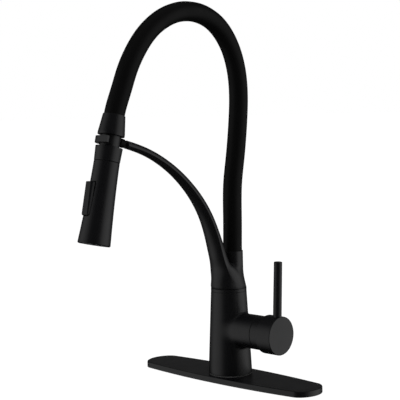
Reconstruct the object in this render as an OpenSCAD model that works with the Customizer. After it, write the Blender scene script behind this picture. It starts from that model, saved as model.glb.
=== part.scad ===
// Single-lever kitchen faucet: hose arch, support arm with a side-entry dock, and a pull-off spray head.
// Millimetres, +Z up.  The origin is on the column's axis at the deck plate's underside.
// The spout reaches towards -Y and the lever stands on the +X side.

/* [Deck plate] */
// Length of the deck plate
plate_length = 250; // [200:1:280]
// Width of the deck plate at its middle
plate_width = 59.5; // [54:0.5:70]
// Width of the deck plate where its round ends begin
plate_end_width = 45.5; // [36:0.5:50]
// Length of each round end
plate_end_length = 15.5; // [12:0.5:30]
// Height of the plate's top face above the deck
plate_height = 7; // [5:0.1:10]
// Wall of the plate's metal shell
plate_wall = 1.4; // [0.8:0.1:1.8]
// Rounding of the plate's upper edge
plate_round = 1; // [0.4:0.1:1.3]
// Thickness of the foam gasket under the plate
plate_gasket_height = 1; // [0.5:0.1:2]
// Thickness of the gasket ring under the column
column_gasket_height = 1; // [0.5:0.1:2]

/* [Column] */
// Radius of the column's foot
column_foot_r = 25; // [23:0.25:27]
// Radius of the column's top and of the swivel parts
column_top_r = 20.35; // [19.5:0.05:22]
// Height of the column's top face above the deck
column_top_z = 102.5; // [96:0.5:120]
// Height of the trim ring at the swivel
swivel_ring_height = 3.6; // [2:0.1:6]
// Depth of the chamber that the supply hoses come up into
chamber_depth = 32; // [24:1:36]
// Radius of the water passages
passage_r = 3; // [2:0.1:3.4]

/* [Shank and nut] */
// Radius of the threaded shank below the column
shank_r = 16; // [14:0.1:16.8]
// Wall of the shank
shank_wall = 3; // [2:0.1:4]
// Length of the shank below the deck
shank_length = 52; // [46:1:60]
// Thickness of deck that the nut and washers are set for
deck_gap = 30; // [10:1:30]
// Radius of the two washers under the deck
washer_r = 27; // [24:0.5:32]
// Across-corners radius of the mounting nut
nut_r = 23; // [21:0.5:26]
// Height of the mounting nut
nut_height = 9; // [7:0.5:12]

/* [Lever and cartridge] */
// Height of the lever hub's axis above the deck
handle_z = 59; // [54:0.5:66]
// Radius of the column's side horn and of the bonnet ring
horn_r = 19.2; // [18.6:0.1:20]
// Distance from the column's axis to the horn's end
horn_end = 46; // [44:0.5:50]
// Length of the bonnet ring that shows past the horn
bonnet_length = 11.2; // [9:0.1:11.3]
// Outer radius of the lever hub
hub_r = 21.6; // [21.4:0.1:24]
// Wall of the lever hub's skirt
hub_wall = 1.6; // [1.2:0.1:1.8]
// Distance from the column's axis to the hub's flat end
hub_end = 76.6; // [75:0.1:80]
// Distance from the column's axis to the hub's open rim
hub_rim = 57; // [56:0.1:57.2]
// Radius of the lever rod at its base
rod_base_r = 4.8; // [4:0.1:5.5]
// Radius of the lever rod at its top
rod_top_r = 4.6; // [3.6:0.1:5.2]
// Height of the rod's top above the hub's axis
rod_reach = 82.3; // [60:0.1:110]
// Outward lean of the rod, in degrees
rod_lean = 2.2; // [0:0.1:5]
// Radius of the ceramic cartridge
cartridge_r = 14; // [13.5:0.1:14.4]
// Radius of the cartridge's stem
stem_r = 3.5; // [3:0.1:3.7]
// Distance from the column's axis to the stem's pivot pin
stem_pivot = 33; // [32.5:0.1:34]

/* [Spout] */
// Half width of the support arm at its tip
arm_tip_half = 4.6; // [3.3:0.1:5]
// Half width that the arm's taper starts from
arm_root_half = 12.4; // [10:0.1:13]
// Length over which the column's round narrows into the arm
arm_flare_length = 42; // [36:1:50]
// Distance of the hose socket behind the column's axis
socket_y = 8; // [7:0.1:8.5]
// Outer radius of the hose socket
socket_r = 11.8; // [11.7:0.1:12]
// Height of the hose socket's rim above the deck
socket_top_z = 147.5; // [145:0.5:152]

/* [Hose] */
// Outer radius of the silicone sleeve
sleeve_r = 10.8; // [10.4:0.1:10.8]
// Wall of the silicone sleeve
sleeve_wall = 2.3; // [1.5:0.1:2.4]
// Outer radius of the water hose inside the sleeve
hose_r = 6.4; // [6:0.1:6.5]
// Bore radius of the water hose
hose_bore_r = 4.3; // [4.2:0.05:4.5]
// Depth that the sleeve enters the socket and the connector
sleeve_entry = 8; // [6:0.5:10]

/* [Dock and spray head] */
// Distance of the docked head's axis in front of the column's axis, at the clip
dock_reach = 176; // [170:0.5:180]
// Height of the clip's middle on that axis
dock_z = 282.5; // [279:0.5:287]
// Tilt of the docked head from upright, in degrees
head_tilt = 14.4; // [12:0.1:17]
// Turn of the head about its own axis, in degrees
head_turn = 18; // [0:1:40]
// Radius of the neck that the clip holds
neck_r = 10.4; // [10.2:0.1:10.7]
// Outer radius of the dock clip
clip_r = 15.4; // [15:0.1:16.5]
// Height of the dock clip
clip_height = 6.7; // [5:0.1:7.5]
// Reach of the clip's front finger past the neck's axis
clip_finger = 12; // [6:0.5:13]
// Radius of the round stem between the arm and the clip
dock_stem_r = 4; // [3.2:0.1:4.2]
// Length of the spray shell
shell_length = 87.2; // [80:0.1:92]
// Radius of the spray shell at its top
shell_top_r = 13.3; // [13.2:0.1:14]
// Radius of the spray shell at its face
shell_face_r = 17; // [16.4:0.1:19]
// Wall of the spray shell
shell_wall = 1.7; // [1.2:0.1:1.9]
// Length of the collar above the shell
collar_length = 13.3; // [12.5:0.1:16]
// Radius of the collar at its top
collar_top_r = 14.1; // [13.6:0.1:15]
// Length of the neck between the collar and the connector
neck_length = 11; // [9.5:0.1:12]
// Length of the hose connector
connector_length = 22.5; // [21:0.1:26]
// Radius of the hose connector at its foot
connector_foot_r = 14; // [13.4:0.1:14.6]
// Radius of the hose connector at its rim
connector_rim_r = 11.6; // [11.5:0.1:12.4]
// Length of the rocker button
button_length = 35.2; // [28:0.1:37]
// Width of the rocker button at its foot
button_width = 14.2; // [11:0.1:15]
// Distance of the button's face from the head's axis at its lower end
button_face = 15.9; // [14.8:0.1:16.4]
// Height that the button's face gains towards its upper end
button_rise = 1; // [0:0.1:1.4]
// Number of spray nozzles in the outer ring
nozzle_count = 24; // [12:1:28]

/* [Hidden] */
$fn = 64;

// Finishes
BLACK = "#1c1c1e";
RUBBER = "#141414";
BRASS = "#b8964a";
STEEL = "#a9adb0";
CERAMIC = "#e8e6df";
NYLON = "#d9dbd6";

// Small gaps: between moving bodies, between seated parts, and in running fits
gap = 0.3;
seat = 0.1;
run = 0.05;
// A cut that only has to pass the faces it opens
past = 1;

// Heights and radii that follow from the driving sizes
column_z = plate_height + column_gasket_height;
deck_hole_r = shank_r + 1.5;
spout_z = column_top_z + swivel_ring_height + gap;
chamber_z = column_z + chamber_depth;
shank_entry = 13;
shank_bore_r = shank_r - shank_wall;
inlet_r = 4.5;
inlet_depth = 12;
inlet_y = 7.2;
inlet_drop = 3.5;
outlet_rise = 8;
outlet_r = 5;
washer_z = -deck_gap;
rubber_height = 2;
steel_height = 1.5;

// Spigot, bush and O-ring of the swivel
spigot_r = 10;
spigot_length = 12.4;
spigot_depth = 10;
bush_r = 13.2;
bush_height = 5.6;
ring_cord_r = 1;
spout_bore_r = spigot_r + 0.6;
spigot_top_z = spout_z + spigot_length;
o_ring_z = spout_z + bush_height + 2.2;
groove_z = spigot_top_z - 1.9;
swivel_screw_r = 1.5;

// Cartridge, from its seat in the horn outwards
cartridge_seat = 14.6;
seal_height = 0.6;
body_front = 34;
body_neck_r = 11;
body_neck_end = 40;
cavity_r = 11.6;
cavity_end = 31;
fixed_disc_start = 18.6;
disc_split = 22.4;
moving_disc_end = 26;
moving_disc_r = 8.7;
rotor_r = 9.2;
rotor_start = 28.2;
rotor_end = 44;
stem_foot = 25.4;
stem_foot_r = 2;
stem_end = 72;
pin_r = 1.2;
nut_ring_r = horn_r - 3;
boss_r = 8;
boss_depth = 3.4;
hub_floor = hub_end - 11.6;
hub_screw_x = hub_floor + 3.2;
hub_skirt_r = hub_r - hub_wall;
rod_x = hub_end - 6.4;
rod_depth = 12.5;
bonnet_bore_r = nut_ring_r - 1.3;
screw_r = 2;

// Spray head, measured up its own axis from the spray face
collar_start = shell_length + gap;
collar_end = collar_start + collar_length;
neck_end = collar_end + neck_length;
connector_start = neck_end;
connector_end = connector_start + connector_length;
clip_end = connector_start - gap;
clip_start = clip_end - clip_height;
clip_mid = (clip_start + clip_end) / 2;
clip_bore_r = neck_r + 0.8;
stem_face = clip_r + 2.6;
sleeve_stop = connector_end - sleeve_entry;
nipple_r = 7.4;
nipple_height = 7.6;
barb_r = hose_bore_r * cos(15) - 0.2;
barb_length = 9;
ferrule_r = (sleeve_r - sleeve_wall) * cos(15) - 0.3;
ferrule_length = 8;
tenon_r = 8;
tenon_height = 4.2;
washer_height = 1;
valve_r = 5;
valve_height = 11;
flange_r = 9.6;
flange_z = collar_start + 4.4;
flange_height = 2.6;
core_r = 9.3;
core_bore_r = 6.3;
core_top = flange_z - gap;
neck_foot = core_top - 12;
neck_seal_z = neck_foot + 3;
neck_seal_r = 0.8;
button_mid = 45.3;
button_gap = 0.6;
button_start = button_mid - button_length / 2;
button_axis_r = 11.2;
button_back_r = 12.5;
plunger_r = 1.8;
plunger_up = 12;
face_height = 3;
core_foot = face_height + 0.8;
aerator_r = 6.4;
aerator_height = 9;
nozzle_ring_r = 11.2;
nozzle_r = 1.1;

// Route of the hose, [y, z]: the ends follow the socket and the connector, the rest was laid by hand
hose_route = concat([[socket_y, socket_top_z - sleeve_entry], [socket_y, socket_top_z + 7.5]],
    [[9, 178], [9, 202], [10, 226], [15, 249], [19, 273], [22, 297], [24, 320], [23, 344], [17, 367],
     [6, 387], [-11, 404], [-33, 414], [-57, 417], [-80, 414], [-102, 405], [-121, 392], [-137, 374],
     [-150, 354], [-158, 334]],
    [head_point(sleeve_stop + 15), head_point(sleeve_stop)]);
hose_sides = 12;
hose_steps = 2;

// Route of the support arm's middle line, [y, z], from the swivel to the dock stem
arm_route = concat([[0, spout_z], [-7, spout_z + 6], [-12, spout_z + 15], [-13.5, spout_z + 25],
    [-17, spout_z + 36]], [[-21, 156], [-27, 171.5], [-35, 190], [-48, 209.5], [-64.5, 227.5],
     [-84.5, 244.5], [-107.5, 259], [-131, 270]], [stem_point(stem_face), stem_point(stem_face - 3)]);
arm_sides = 28;
arm_steps = 3;

// Point on the docked head's axis, [y, z], at a height above the spray face
function head_point(s) = [-dock_reach + (s - clip_mid) * sin(head_tilt),
                          dock_z + (s - clip_mid) * cos(head_tilt)];
// Point on the dock stem's axis, [y, z], at a distance behind the head's axis
function stem_point(r) = [-dock_reach + r * cos(head_tilt), dock_z - r * sin(head_tilt)];

// Outline of the deck plate, drawn in by a distance: bowed long sides and blunt round ends
function side_half(x, inset) = plate_width / 2 - inset
    - (plate_width - plate_end_width) / 2 * pow(x / (plate_length / 2 - plate_end_length), 2);
function quarter_outline(inset) = let (flat = plate_length / 2 - plate_end_length,
    reach = plate_end_length - inset) concat(
    [for (i = [0:9]) let (x = flat * i / 10) [x, side_half(x, inset)]],
    [for (i = [0:11]) let (x = flat + reach * sin(i * 7.5))
        [x, side_half(x, inset) * cos(i * 7.5)]]);
function plate_outline(inset) = let (q = quarter_outline(inset), n = len(q), tip = plate_length / 2 - inset)
    concat(q, [[tip, 0]], [for (i = [n - 1:-1:0]) [q[i][0], -q[i][1]]],
    [for (i = [1:n - 1]) [-q[i][0], -q[i][1]]], [[-tip, 0]], [for (i = [n - 1:-1:1]) [-q[i][0], q[i][1]]]);

// Uniform cubic spline through a route's neighbourhood, starting and ending on its end points
function spline_point(p, q, r, s, t) = ((1 - t) * (1 - t) * (1 - t) * p
    + (3 * t * t * t - 6 * t * t + 4) * q + (-3 * t * t * t + 3 * t * t + 3 * t + 1) * r + t * t * t * s) / 6;
function spline(route, steps) = let (n = len(route),
    c = concat([2 * route[0] - route[1]], route, [2 * route[n - 1] - route[n - 2]]))
    concat([for (i = [0:n - 2]) for (k = [0:steps - 1])
        spline_point(c[i], c[i + 1], c[i + 2], c[i + 3], k / steps)], [route[n - 1]]);
function unit(v) = v / norm(v);
// Direction of a curve at each of its points, square to its ends
function headings(curve, first, last) = let (n = len(curve)) [for (i = [0:n - 1])
    i == 0 ? first : i == n - 1 ? last : unit(curve[i + 1] - curve[i - 1])];
function lengths(curve, i = 0, sum = 0) = i >= len(curve) - 1 ? [sum]
    : concat([sum], lengths(curve, i + 1, sum + norm(curve[i + 1] - curve[i])));

// Solid skinned over closed rings of equal count
module loft(rings) {
    n = len(rings[0]);
    last = len(rings) - 1;
    points = concat([for (ring = rings) for (p = ring) p], [centre(rings[0]), centre(rings[last])]);
    sides = [for (j = [0:last - 1]) for (i = [0:n - 1]) let (k = (i + 1) % n, a = j * n, b = a + n)
        for (f = [[a + i, b + k, a + k], [a + i, b + i, b + k]]) f];
    foot = [for (i = [0:n - 1]) [i, (i + 1) % n, last * n + n]];
    top = [for (i = [0:n - 1]) [last * n + (i + 1) % n, last * n + i, last * n + n + 1]];
    polyhedron(points, concat(sides, foot, top));
}
function centre(ring) = [for (i = [0:len(ring) - 1]) 1] * ring / len(ring);

// Ring of points round a curve point: across is X, depth is square to the heading in the YZ plane
function round_ring(p, h, r, sides) = [for (i = [0:sides - 1]) let (a = 360 * i / sides + 180 / sides)
    [r * cos(a), p[0] + r * sin(a) * h[1], p[1] - r * sin(a) * h[0]]];

// Hollow tube swept along a curve
module hollow_tube(curve, heads, r, bore) {
    n = hose_sides;
    m = len(curve);
    outer = [for (j = [0:m - 1]) for (p = round_ring(curve[j], heads[j], r, n)) p];
    inner = [for (j = [0:m - 1]) for (p = round_ring(curve[j], heads[j], bore, n)) p];
    skin = [for (j = [0:m - 2]) for (i = [0:n - 1]) let (k = (i + 1) % n, a = j * n, b = (j + 1) * n)
        for (f = [[a + i, a + k, b + k], [a + i, b + k, b + i]]) f];
    lining = [for (f = skin) [f[2] + m * n, f[1] + m * n, f[0] + m * n]];
    foot = [for (i = [0:n - 1]) let (k = (i + 1) % n, b = m * n) for (f = [[k, i, b + i], [k, b + i, b + k]]) f];
    end = [for (i = [0:n - 1]) let (k = (i + 1) % n, a = (m - 1) * n, b = (2 * m - 1) * n)
        for (f = [[a + i, a + k, b + i], [a + k, b + k, b + i]]) f];
    polyhedron(concat(outer, inner), concat(skin, lining, foot, end));
}

module tube(r, bore, z0, z1) {
    difference() {
        translate([0, 0, z0]) cylinder(r = r, h = z1 - z0);
        translate([0, 0, z0 - past]) cylinder(r = bore, h = z1 - z0 + 2 * past);
    }
}

module o_ring(mid_r, cord_r, z) {
    translate([0, 0, z]) rotate_extrude() translate([mid_r, 0]) circle(r = cord_r, $fn = 32);
}

// Local frames: up the lever hub's axis (+X), and up the docked head's axis
module on_handle_axis() {
    translate([0, 0, handle_z]) rotate([0, 90, 0]) children();
}
module on_head_axis() {
    foot = head_point(0);
    translate([0, foot[0], foot[1]]) rotate([-head_tilt, 0, 0]) children();
}
module turned_head() {
    on_head_axis() rotate([0, 0, -head_turn]) children();
}
// Local frame with +Z along the dock stem, towards the arm
module on_stem_axis() {
    on_head_axis() translate([0, 0, clip_mid]) rotate([-90, 0, 0]) children();
}

// ---- Deck plate and its seals ----

module deck_plate() {
    rim_z = 0.4;
    rings = [[0, rim_z], [0, plate_height - plate_round], [0.13 * plate_round, plate_height - 0.5 * plate_round],
        [0.5 * plate_round, plate_height - 0.13 * plate_round], [plate_round, plate_height]];
    color(BLACK) difference() {
        loft([for (s = rings) [for (p = plate_outline(s[0])) [p[0], p[1], s[1]]]]);
        translate([0, 0, -past]) linear_extrude(plate_height - plate_wall + past)
            polygon(plate_outline(plate_wall));
        cylinder(r = deck_hole_r, h = plate_height + past);
    }
}

module plate_insert() {
    floor_z = plate_gasket_height;
    color(RUBBER) difference() {
        translate([0, 0, floor_z]) linear_extrude(plate_height - plate_wall - floor_z)
            polygon(plate_outline(plate_wall + seat));
        translate([0, 0, floor_z - past]) cylinder(r = deck_hole_r, h = plate_height + 2 * past);
        for (side = [-1, 1]) for (i = [0:3]) translate([side * (34 + 20 * i), 0, floor_z - past])
            cylinder(r = 7.5, h = plate_height - plate_wall - floor_z);
    }
}

module plate_gasket() {
    color(RUBBER) difference() {
        linear_extrude(plate_gasket_height) polygon(plate_outline(plate_wall + seat));
        translate([0, 0, -past]) cylinder(r = deck_hole_r, h = plate_gasket_height + 2 * past);
    }
}

module column_gasket() {
    color(RUBBER) tube(column_foot_r - 0.6, deck_hole_r, plate_height, column_z);
}

// ---- Column ----

module column_cone() {
    rotate_extrude() polygon([[0, column_z], [column_foot_r - 0.4, column_z], [column_foot_r, column_z + 0.5],
        [column_top_r, column_top_z], [0, column_top_z]]);
}

module column() {
    color(BLACK) difference() {
        column_cone();
        translate([0, 0, column_z - past]) cylinder(r = shank_r + run, h = chamber_depth + past);
        for (side = [-1, 1]) translate([0, side * inlet_y, chamber_z - past]) {
            cylinder(r = inlet_r, h = inlet_depth + past);
            cylinder(r = passage_r + 0.6, h = handle_z - chamber_z + past);
            translate([0, 0, handle_z - chamber_z - inlet_drop + past]) rotate([0, 90, 0])
                cylinder(r = passage_r, h = cartridge_seat);
        }
        translate([0, 0, handle_z + outlet_rise]) {
            rotate([0, 90, 0]) cylinder(r = passage_r, h = cartridge_seat);
            translate([0, 0, -outlet_r]) cylinder(r = outlet_r, h = column_top_z - handle_z);
        }
        translate([0, 0, column_top_z - spigot_depth]) cylinder(r = spigot_r + seat, h = spigot_depth + past);
        cartridge_bore();
    }
}

// Side horn of the same casting, from the column's round outwards
module column_horn() {
    color(BLACK) difference() {
        on_handle_axis() cylinder(r = horn_r, h = horn_end);
        column_cone();
        cartridge_bore();
        on_handle_axis() translate([0, 0, body_front]) cylinder(r = nut_ring_r + seat, h = horn_end);
    }
}

module cartridge_bore() {
    on_handle_axis() translate([0, 0, cartridge_seat - seal_height]) cylinder(r = cartridge_r + seat, h = horn_end);
}

module shank() {
    color(BRASS) tube(shank_r, shank_bore_r, -shank_length, column_z + shank_entry);
}

module rubber_washer() {
    color(RUBBER) tube(washer_r, shank_r + gap, washer_z - rubber_height, washer_z);
}

module steel_washer() {
    top = washer_z - rubber_height;
    color(STEEL) tube(washer_r, shank_r + gap, top - steel_height, top);
}

module mounting_nut() {
    top = washer_z - rubber_height - steel_height;
    color(BRASS) difference() {
        translate([0, 0, top - nut_height]) cylinder(r = nut_r, h = nut_height, $fn = 6);
        translate([0, 0, top - nut_height - past]) cylinder(r = shank_r + gap, h = nut_height + 2 * past);
    }
}

// ---- Cartridge in the horn ----

module bonnet_ring() {
    color(BLACK) on_handle_axis() difference() {
        union() {
            translate([0, 0, horn_end + gap]) cylinder(r = horn_r, h = bonnet_length);
            translate([0, 0, body_neck_end + gap]) cylinder(r = nut_ring_r, h = horn_end - body_neck_end);
        }
        cylinder(r = bonnet_bore_r, h = hub_end);
    }
}

module cartridge_nut() {
    color(BRASS) on_handle_axis() tube(nut_ring_r, body_neck_r + seat, body_front + seat, body_neck_end);
}

module cartridge_body() {
    color(NYLON) on_handle_axis() difference() {
        union() {
            translate([0, 0, cartridge_seat]) cylinder(r = cartridge_r, h = body_front - cartridge_seat);
            translate([0, 0, body_front]) cylinder(r = body_neck_r, h = body_neck_end - body_front);
        }
        translate([0, 0, fixed_disc_start]) cylinder(r = cavity_r, h = cavity_end - fixed_disc_start);
        translate([0, 0, cavity_end - past]) cylinder(r = rotor_r + run, h = body_neck_end);
        for (p = cartridge_ports) translate([p[0], p[1], 0]) cylinder(r = passage_r, h = disc_split);
    }
}

// Ports in the cartridge's floor, in the handle frame: two inlets below the axis and the outlet above it
cartridge_ports = [[inlet_drop, inlet_y], [inlet_drop, -inlet_y], [-outlet_rise, 0]];

module cartridge_seals() {
    color(RUBBER) on_handle_axis() for (p = cartridge_ports) translate([p[0], p[1], 0])
        tube(passage_r + 1, passage_r, cartridge_seat - seal_height, cartridge_seat);
}

module fixed_disc() {
    color(CERAMIC) on_handle_axis() difference() {
        translate([0, 0, fixed_disc_start]) cylinder(r = cavity_r - seat, h = disc_split - fixed_disc_start);
        for (p = cartridge_ports) translate([p[0], p[1], 0]) cylinder(r = passage_r, h = horn_end);
    }
}

module moving_disc() {
    pocket = stem_foot_r + gap;
    color(CERAMIC) on_handle_axis() difference() {
        translate([0, 0, disc_split + run]) cylinder(r = moving_disc_r, h = moving_disc_end - disc_split);
        translate([-pocket, -pocket, stem_foot - pocket]) cube([2 * pocket, 2 * pocket, horn_end]);
    }
}

module cartridge_rotor() {
    slot_half = 7.4;
    slot_width = 2 * (stem_r + gap);
    color(NYLON) on_handle_axis() difference() {
        union() {
            translate([0, 0, rotor_start]) cylinder(r = rotor_r, h = rotor_end - rotor_start);
            translate([0, 0, rotor_start]) cylinder(r = cavity_r - seat, h = cavity_end - rotor_start - seat);
        }
        translate([-slot_half, -slot_width / 2, rotor_start - past])
            cube([2 * slot_half, slot_width, rotor_end]);
        translate([0, 0, stem_pivot]) rotate([90, 0, 0]) cylinder(r = pin_r + run, h = 4 * rotor_r, center = true);
    }
}

module stem_pin() {
    color(STEEL) translate([stem_pivot, 0, handle_z]) rotate([90, 0, 0])
        cylinder(r = pin_r, h = 2 * rotor_r - 1, center = true);
}

module cartridge_stem() {
    neck_end = stem_pivot - stem_r;
    color(STEEL) on_handle_axis() difference() {
        union() {
            translate([0, 0, stem_foot]) sphere(r = stem_foot_r, $fn = 32);
            translate([0, 0, stem_foot]) cylinder(r = stem_foot_r - 0.4, h = neck_end - stem_foot);
            translate([0, 0, neck_end - seat]) cylinder(r = stem_r, h = stem_end - neck_end);
        }
        translate([0, 0, stem_pivot]) rotate([90, 0, 0]) cylinder(r = pin_r + run, h = 4 * stem_r, center = true);
    }
}

// ---- Lever ----

module lever_rod_axis() {
    translate([rod_x, 0, handle_z]) rotate([0, rod_lean, 0]) children();
}

module handle_hub() {
    edge = 0.8;
    color(BLACK) difference() {
        on_handle_axis() difference() {
            union() {
                translate([0, 0, hub_rim]) cylinder(r = hub_r, h = hub_end - hub_rim - edge);
                translate([0, 0, hub_end - edge]) rotate_extrude() polygon([[0, 0], [hub_r, 0],
                    [hub_r - 0.25 * edge, 0.75 * edge], [hub_r - edge, edge], [0, edge]]);
            }
            difference() {
                translate([0, 0, hub_rim - past]) cylinder(r = hub_skirt_r, h = hub_floor - hub_rim + past);
                translate([0, 0, hub_floor - boss_depth]) cylinder(r = boss_r, h = boss_depth + past);
            }
            cylinder(r = stem_r + run, h = stem_end + run);
        }
        lever_rod_axis() translate([0, 0, rod_depth]) cylinder(r = rod_base_r + run, h = hub_r);
        translate([hub_screw_x, 0, handle_z - hub_r - past]) cylinder(r = screw_r + run, h = hub_r);
    }
}

module lever_rod() {
    edge = 0.6;
    length = rod_reach / cos(rod_lean) - rod_depth;
    color(BLACK) lever_rod_axis() translate([0, 0, rod_depth]) rotate_extrude() polygon([[0, 0],
        [rod_base_r, 0], [rod_base_r, hub_r - rod_depth + seat], [rod_top_r, length - edge],
        [rod_top_r - 0.25 * edge, length - 0.25 * edge], [rod_top_r - edge, length], [0, length]]);
}

module handle_screw() {
    color(STEEL) translate([hub_screw_x, 0, handle_z - stem_r - seat - 5]) difference() {
        cylinder(r = screw_r, h = 5);
        translate([0, 0, -past]) cylinder(r = 1.1, h = 2 + past, $fn = 6);
    }
}

// ---- Swivel ----

module swivel_spigot() {
    groove = ring_cord_r * 1.15;
    color(BRASS) difference() {
        translate([0, 0, column_top_z - spigot_depth + seat])
            cylinder(r = spigot_r, h = spigot_top_z - column_top_z + spigot_depth - seat);
        translate([0, 0, column_top_z - spigot_depth]) cylinder(r = outlet_r, h = spigot_top_z);
        tube(spigot_r + past, spout_bore_r - run - 2 * ring_cord_r - run, o_ring_z - groove, o_ring_z + groove);
        tube(spigot_r + past, spigot_r - 1.2, groove_z - 0.9, groove_z + 0.9);
    }
}

module spigot_o_ring() {
    color(RUBBER) o_ring(spout_bore_r - run - ring_cord_r, ring_cord_r, o_ring_z);
}

module swivel_ring() {
    color(BLACK) tube(column_top_r, spigot_r + seat, column_top_z, column_top_z + swivel_ring_height);
}

module swivel_bush() {
    color(NYLON) tube(bush_r, spigot_r + run, spout_z, spout_z + bush_height - seat);
}

// Grub screw from behind, whose tip runs in the spigot's upper groove
module swivel_screw() {
    tip_y = spigot_r - 0.9;
    color(STEEL) translate([0, tip_y, groove_z]) rotate([-90, 0, 0]) {
        cylinder(r = 0.7, h = 1.6);
        translate([0, 0, 1.6]) cylinder(r = swivel_screw_r - run, h = 4.4);
    }
}

// ---- Spout: support arm and hose socket ----

arm_curve = spline(arm_route, arm_steps);
arm_lengths = lengths(arm_curve);
arm_length = arm_lengths[len(arm_lengths) - 1];
// Share of the arm's own lens shape at a distance along it, none at the swivel
function ease(d) = min(1, d / (1.4 * arm_flare_length));
function arm_wide(d) = (1 + 0.12 * ease(d)) * (arm_tip_half
    + (arm_root_half - arm_tip_half) * pow(1 - d / arm_length, 1.5))
    + (column_top_r - arm_root_half) * pow(max(0, 1 - d / arm_flare_length), 1.2);
// Section of two arcs that meet in side edges: a full round at the swivel, a lens along the arm
function arm_ring(p, h, d) = let (wide = arm_wide(d), depth = wide * (1 - 0.22 * ease(d)),
    bow = 0.45 * pow(sin(180 * min(1, 0.9 * d / arm_flare_length)), 2),
    lean = 0.25 * pow(d / arm_length, 3), m = arm_sides / 2)
    [for (i = [0:arm_sides - 1]) let (front = i < m, deep = depth * (front ? 1 - lean - bow : 1 + lean),
        e = 2 * atan(deep / wide), a = e * (2 * (i % m) / m - 1),
        b = (front ? -1 : 1) * deep * (cos(a) - cos(e)) / (1 - cos(e)) - lean * depth)
        [(front ? 1 : -1) * wide * sin(a) / sin(e), p[0] + b * h[1], p[1] - b * h[0]]];
// Rings stand square to the arm, but come level towards the swivel
function levelled(h, d) = unit([h[0] * pow(min(1, d / arm_flare_length), 1.5), h[1]]);

module arm() {
    heads = headings(arm_curve, [0, 1], unit(stem_point(0) - stem_point(1)));
    loft([for (j = [0:len(arm_curve) - 1])
        arm_ring(arm_curve[j], levelled(heads[j], arm_lengths[j]), arm_lengths[j])]);
}

module hose_socket() {
    lift = 0.5;
    neck_z = 19.5;
    foot_r = column_top_r - 2 * gap;
    flare = [for (j = [0:8]) let (t = j / 8, s = pow(1 - t, 1.7))
        [socket_r + (foot_r - socket_r) * s, socket_y * (1 - s), spout_z + lift + neck_z * t]];
    loft([for (f = concat(flare, [[socket_r, socket_y, socket_top_z]]))
        [for (i = [0:47]) [f[0] * cos(7.5 * i), f[1] + f[0] * sin(7.5 * i), f[2]]]]);
}

module spout() {
    color(BLACK) difference() {
        union() {
            arm();
            hose_socket();
        }
        translate([0, 0, spout_z - past]) cylinder(r = bush_r + seat, h = bush_height + past);
        translate([0, 0, spout_z]) cylinder(r = spout_bore_r, h = spigot_length + 1);
        translate([0, socket_y, spout_z + spigot_length]) cylinder(r = outlet_r - 1, h = socket_top_z);
        translate([0, socket_y, socket_top_z - sleeve_entry - nipple_height])
            cylinder(r = nipple_r + seat, h = socket_top_z);
        translate([0, socket_y, socket_top_z - sleeve_entry - gap]) cylinder(r = sleeve_r + seat, h = socket_top_z);
        translate([0, spigot_r - 1, groove_z]) rotate([-90, 0, 0]) cylinder(r = swivel_screw_r, h = column_top_r);
        on_stem_axis() cylinder(r = 20, h = stem_face);
        on_stem_axis() cylinder(r = spigot_pin_r + run, h = stem_face + 8);
    }
}

// ---- Hose ----

// Hose fitting up local Z from the sleeve's end: threaded foot below it, barb above
module hose_fitting() {
    difference() {
        union() {
            translate([0, 0, -nipple_height + seat]) cylinder(r = nipple_r, h = nipple_height - gap);
            cylinder(r = barb_r, h = barb_length);
            translate([0, 0, -past]) cylinder(r = barb_r, h = past);
        }
        translate([0, 0, -nipple_height]) cylinder(r = barb_r - 1.3, h = nipple_height + barb_length + past);
    }
}
module at_socket() {
    translate([0, socket_y, socket_top_z - sleeve_entry]) children();
}
module at_connector() {
    on_head_axis() translate([0, 0, sleeve_stop]) mirror([0, 0, 1]) children();
}
module ferrule() {
    tube(ferrule_r, hose_r + gap, 0.5, 0.5 + ferrule_length);
}

module socket_nipple() {
    color(BRASS) at_socket() hose_fitting();
}
module socket_ferrule() {
    color(STEEL) at_socket() ferrule();
}
module head_nipple() {
    color(BRASS) on_head_axis() translate([0, 0, sleeve_stop]) hose_fitting();
}
module head_ferrule() {
    color(STEEL) on_head_axis() translate([0, 0, sleeve_stop]) ferrule();
}

hose_curve = spline(hose_route, hose_steps);
hose_heads = headings(hose_curve, [0, 1], unit(head_point(0) - head_point(1)));

module hose_sleeve() {
    color("#101011") hollow_tube(hose_curve, hose_heads, sleeve_r, sleeve_r - sleeve_wall);
}
module water_hose() {
    color(NYLON) hollow_tube(hose_curve, hose_heads, hose_r, hose_bore_r);
}

// ---- Dock ----

spigot_pin_r = 2.2;
stem_back = clip_r + seat;

module dock_stem() {
    color("#0a0a0a") on_stem_axis() difference() {
        union() {
            translate([0, 0, stem_back]) cylinder(r = dock_stem_r, h = stem_face - stem_back);
            translate([0, 0, stem_face - past]) cylinder(r = spigot_pin_r, h = 7 + past);
        }
        cylinder(r = 1.3, h = stem_back + 6);
    }
}

module dock_clip() {
    rear_finger = dock_stem_r + 0.5;
    color(BLACK) on_head_axis() difference() {
        translate([0, 0, clip_start]) linear_extrude(clip_height) difference() {
            union() {
                circle(r = clip_r);
                translate([0, -clip_r]) square([clip_finger, clip_r]);
            }
            circle(r = clip_bore_r);
            translate([0, -clip_bore_r]) square([2 * clip_r, 2 * clip_bore_r]);
            translate([rear_finger, 0]) square([clip_r, clip_r + past]);
            translate([0, -clip_bore_r]) square([2 * clip_r, clip_r]);
            translate([clip_finger, -clip_r - past]) square([clip_r, clip_r]);
        }
        translate([0, 0, clip_mid]) rotate([-90, 0, 0]) cylinder(r = 1.7, h = clip_r + past);
        translate([0, 0, clip_mid]) rotate([-90, 0, 0]) cylinder(r = 2.8, h = clip_bore_r + 1.8);
    }
}

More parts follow.
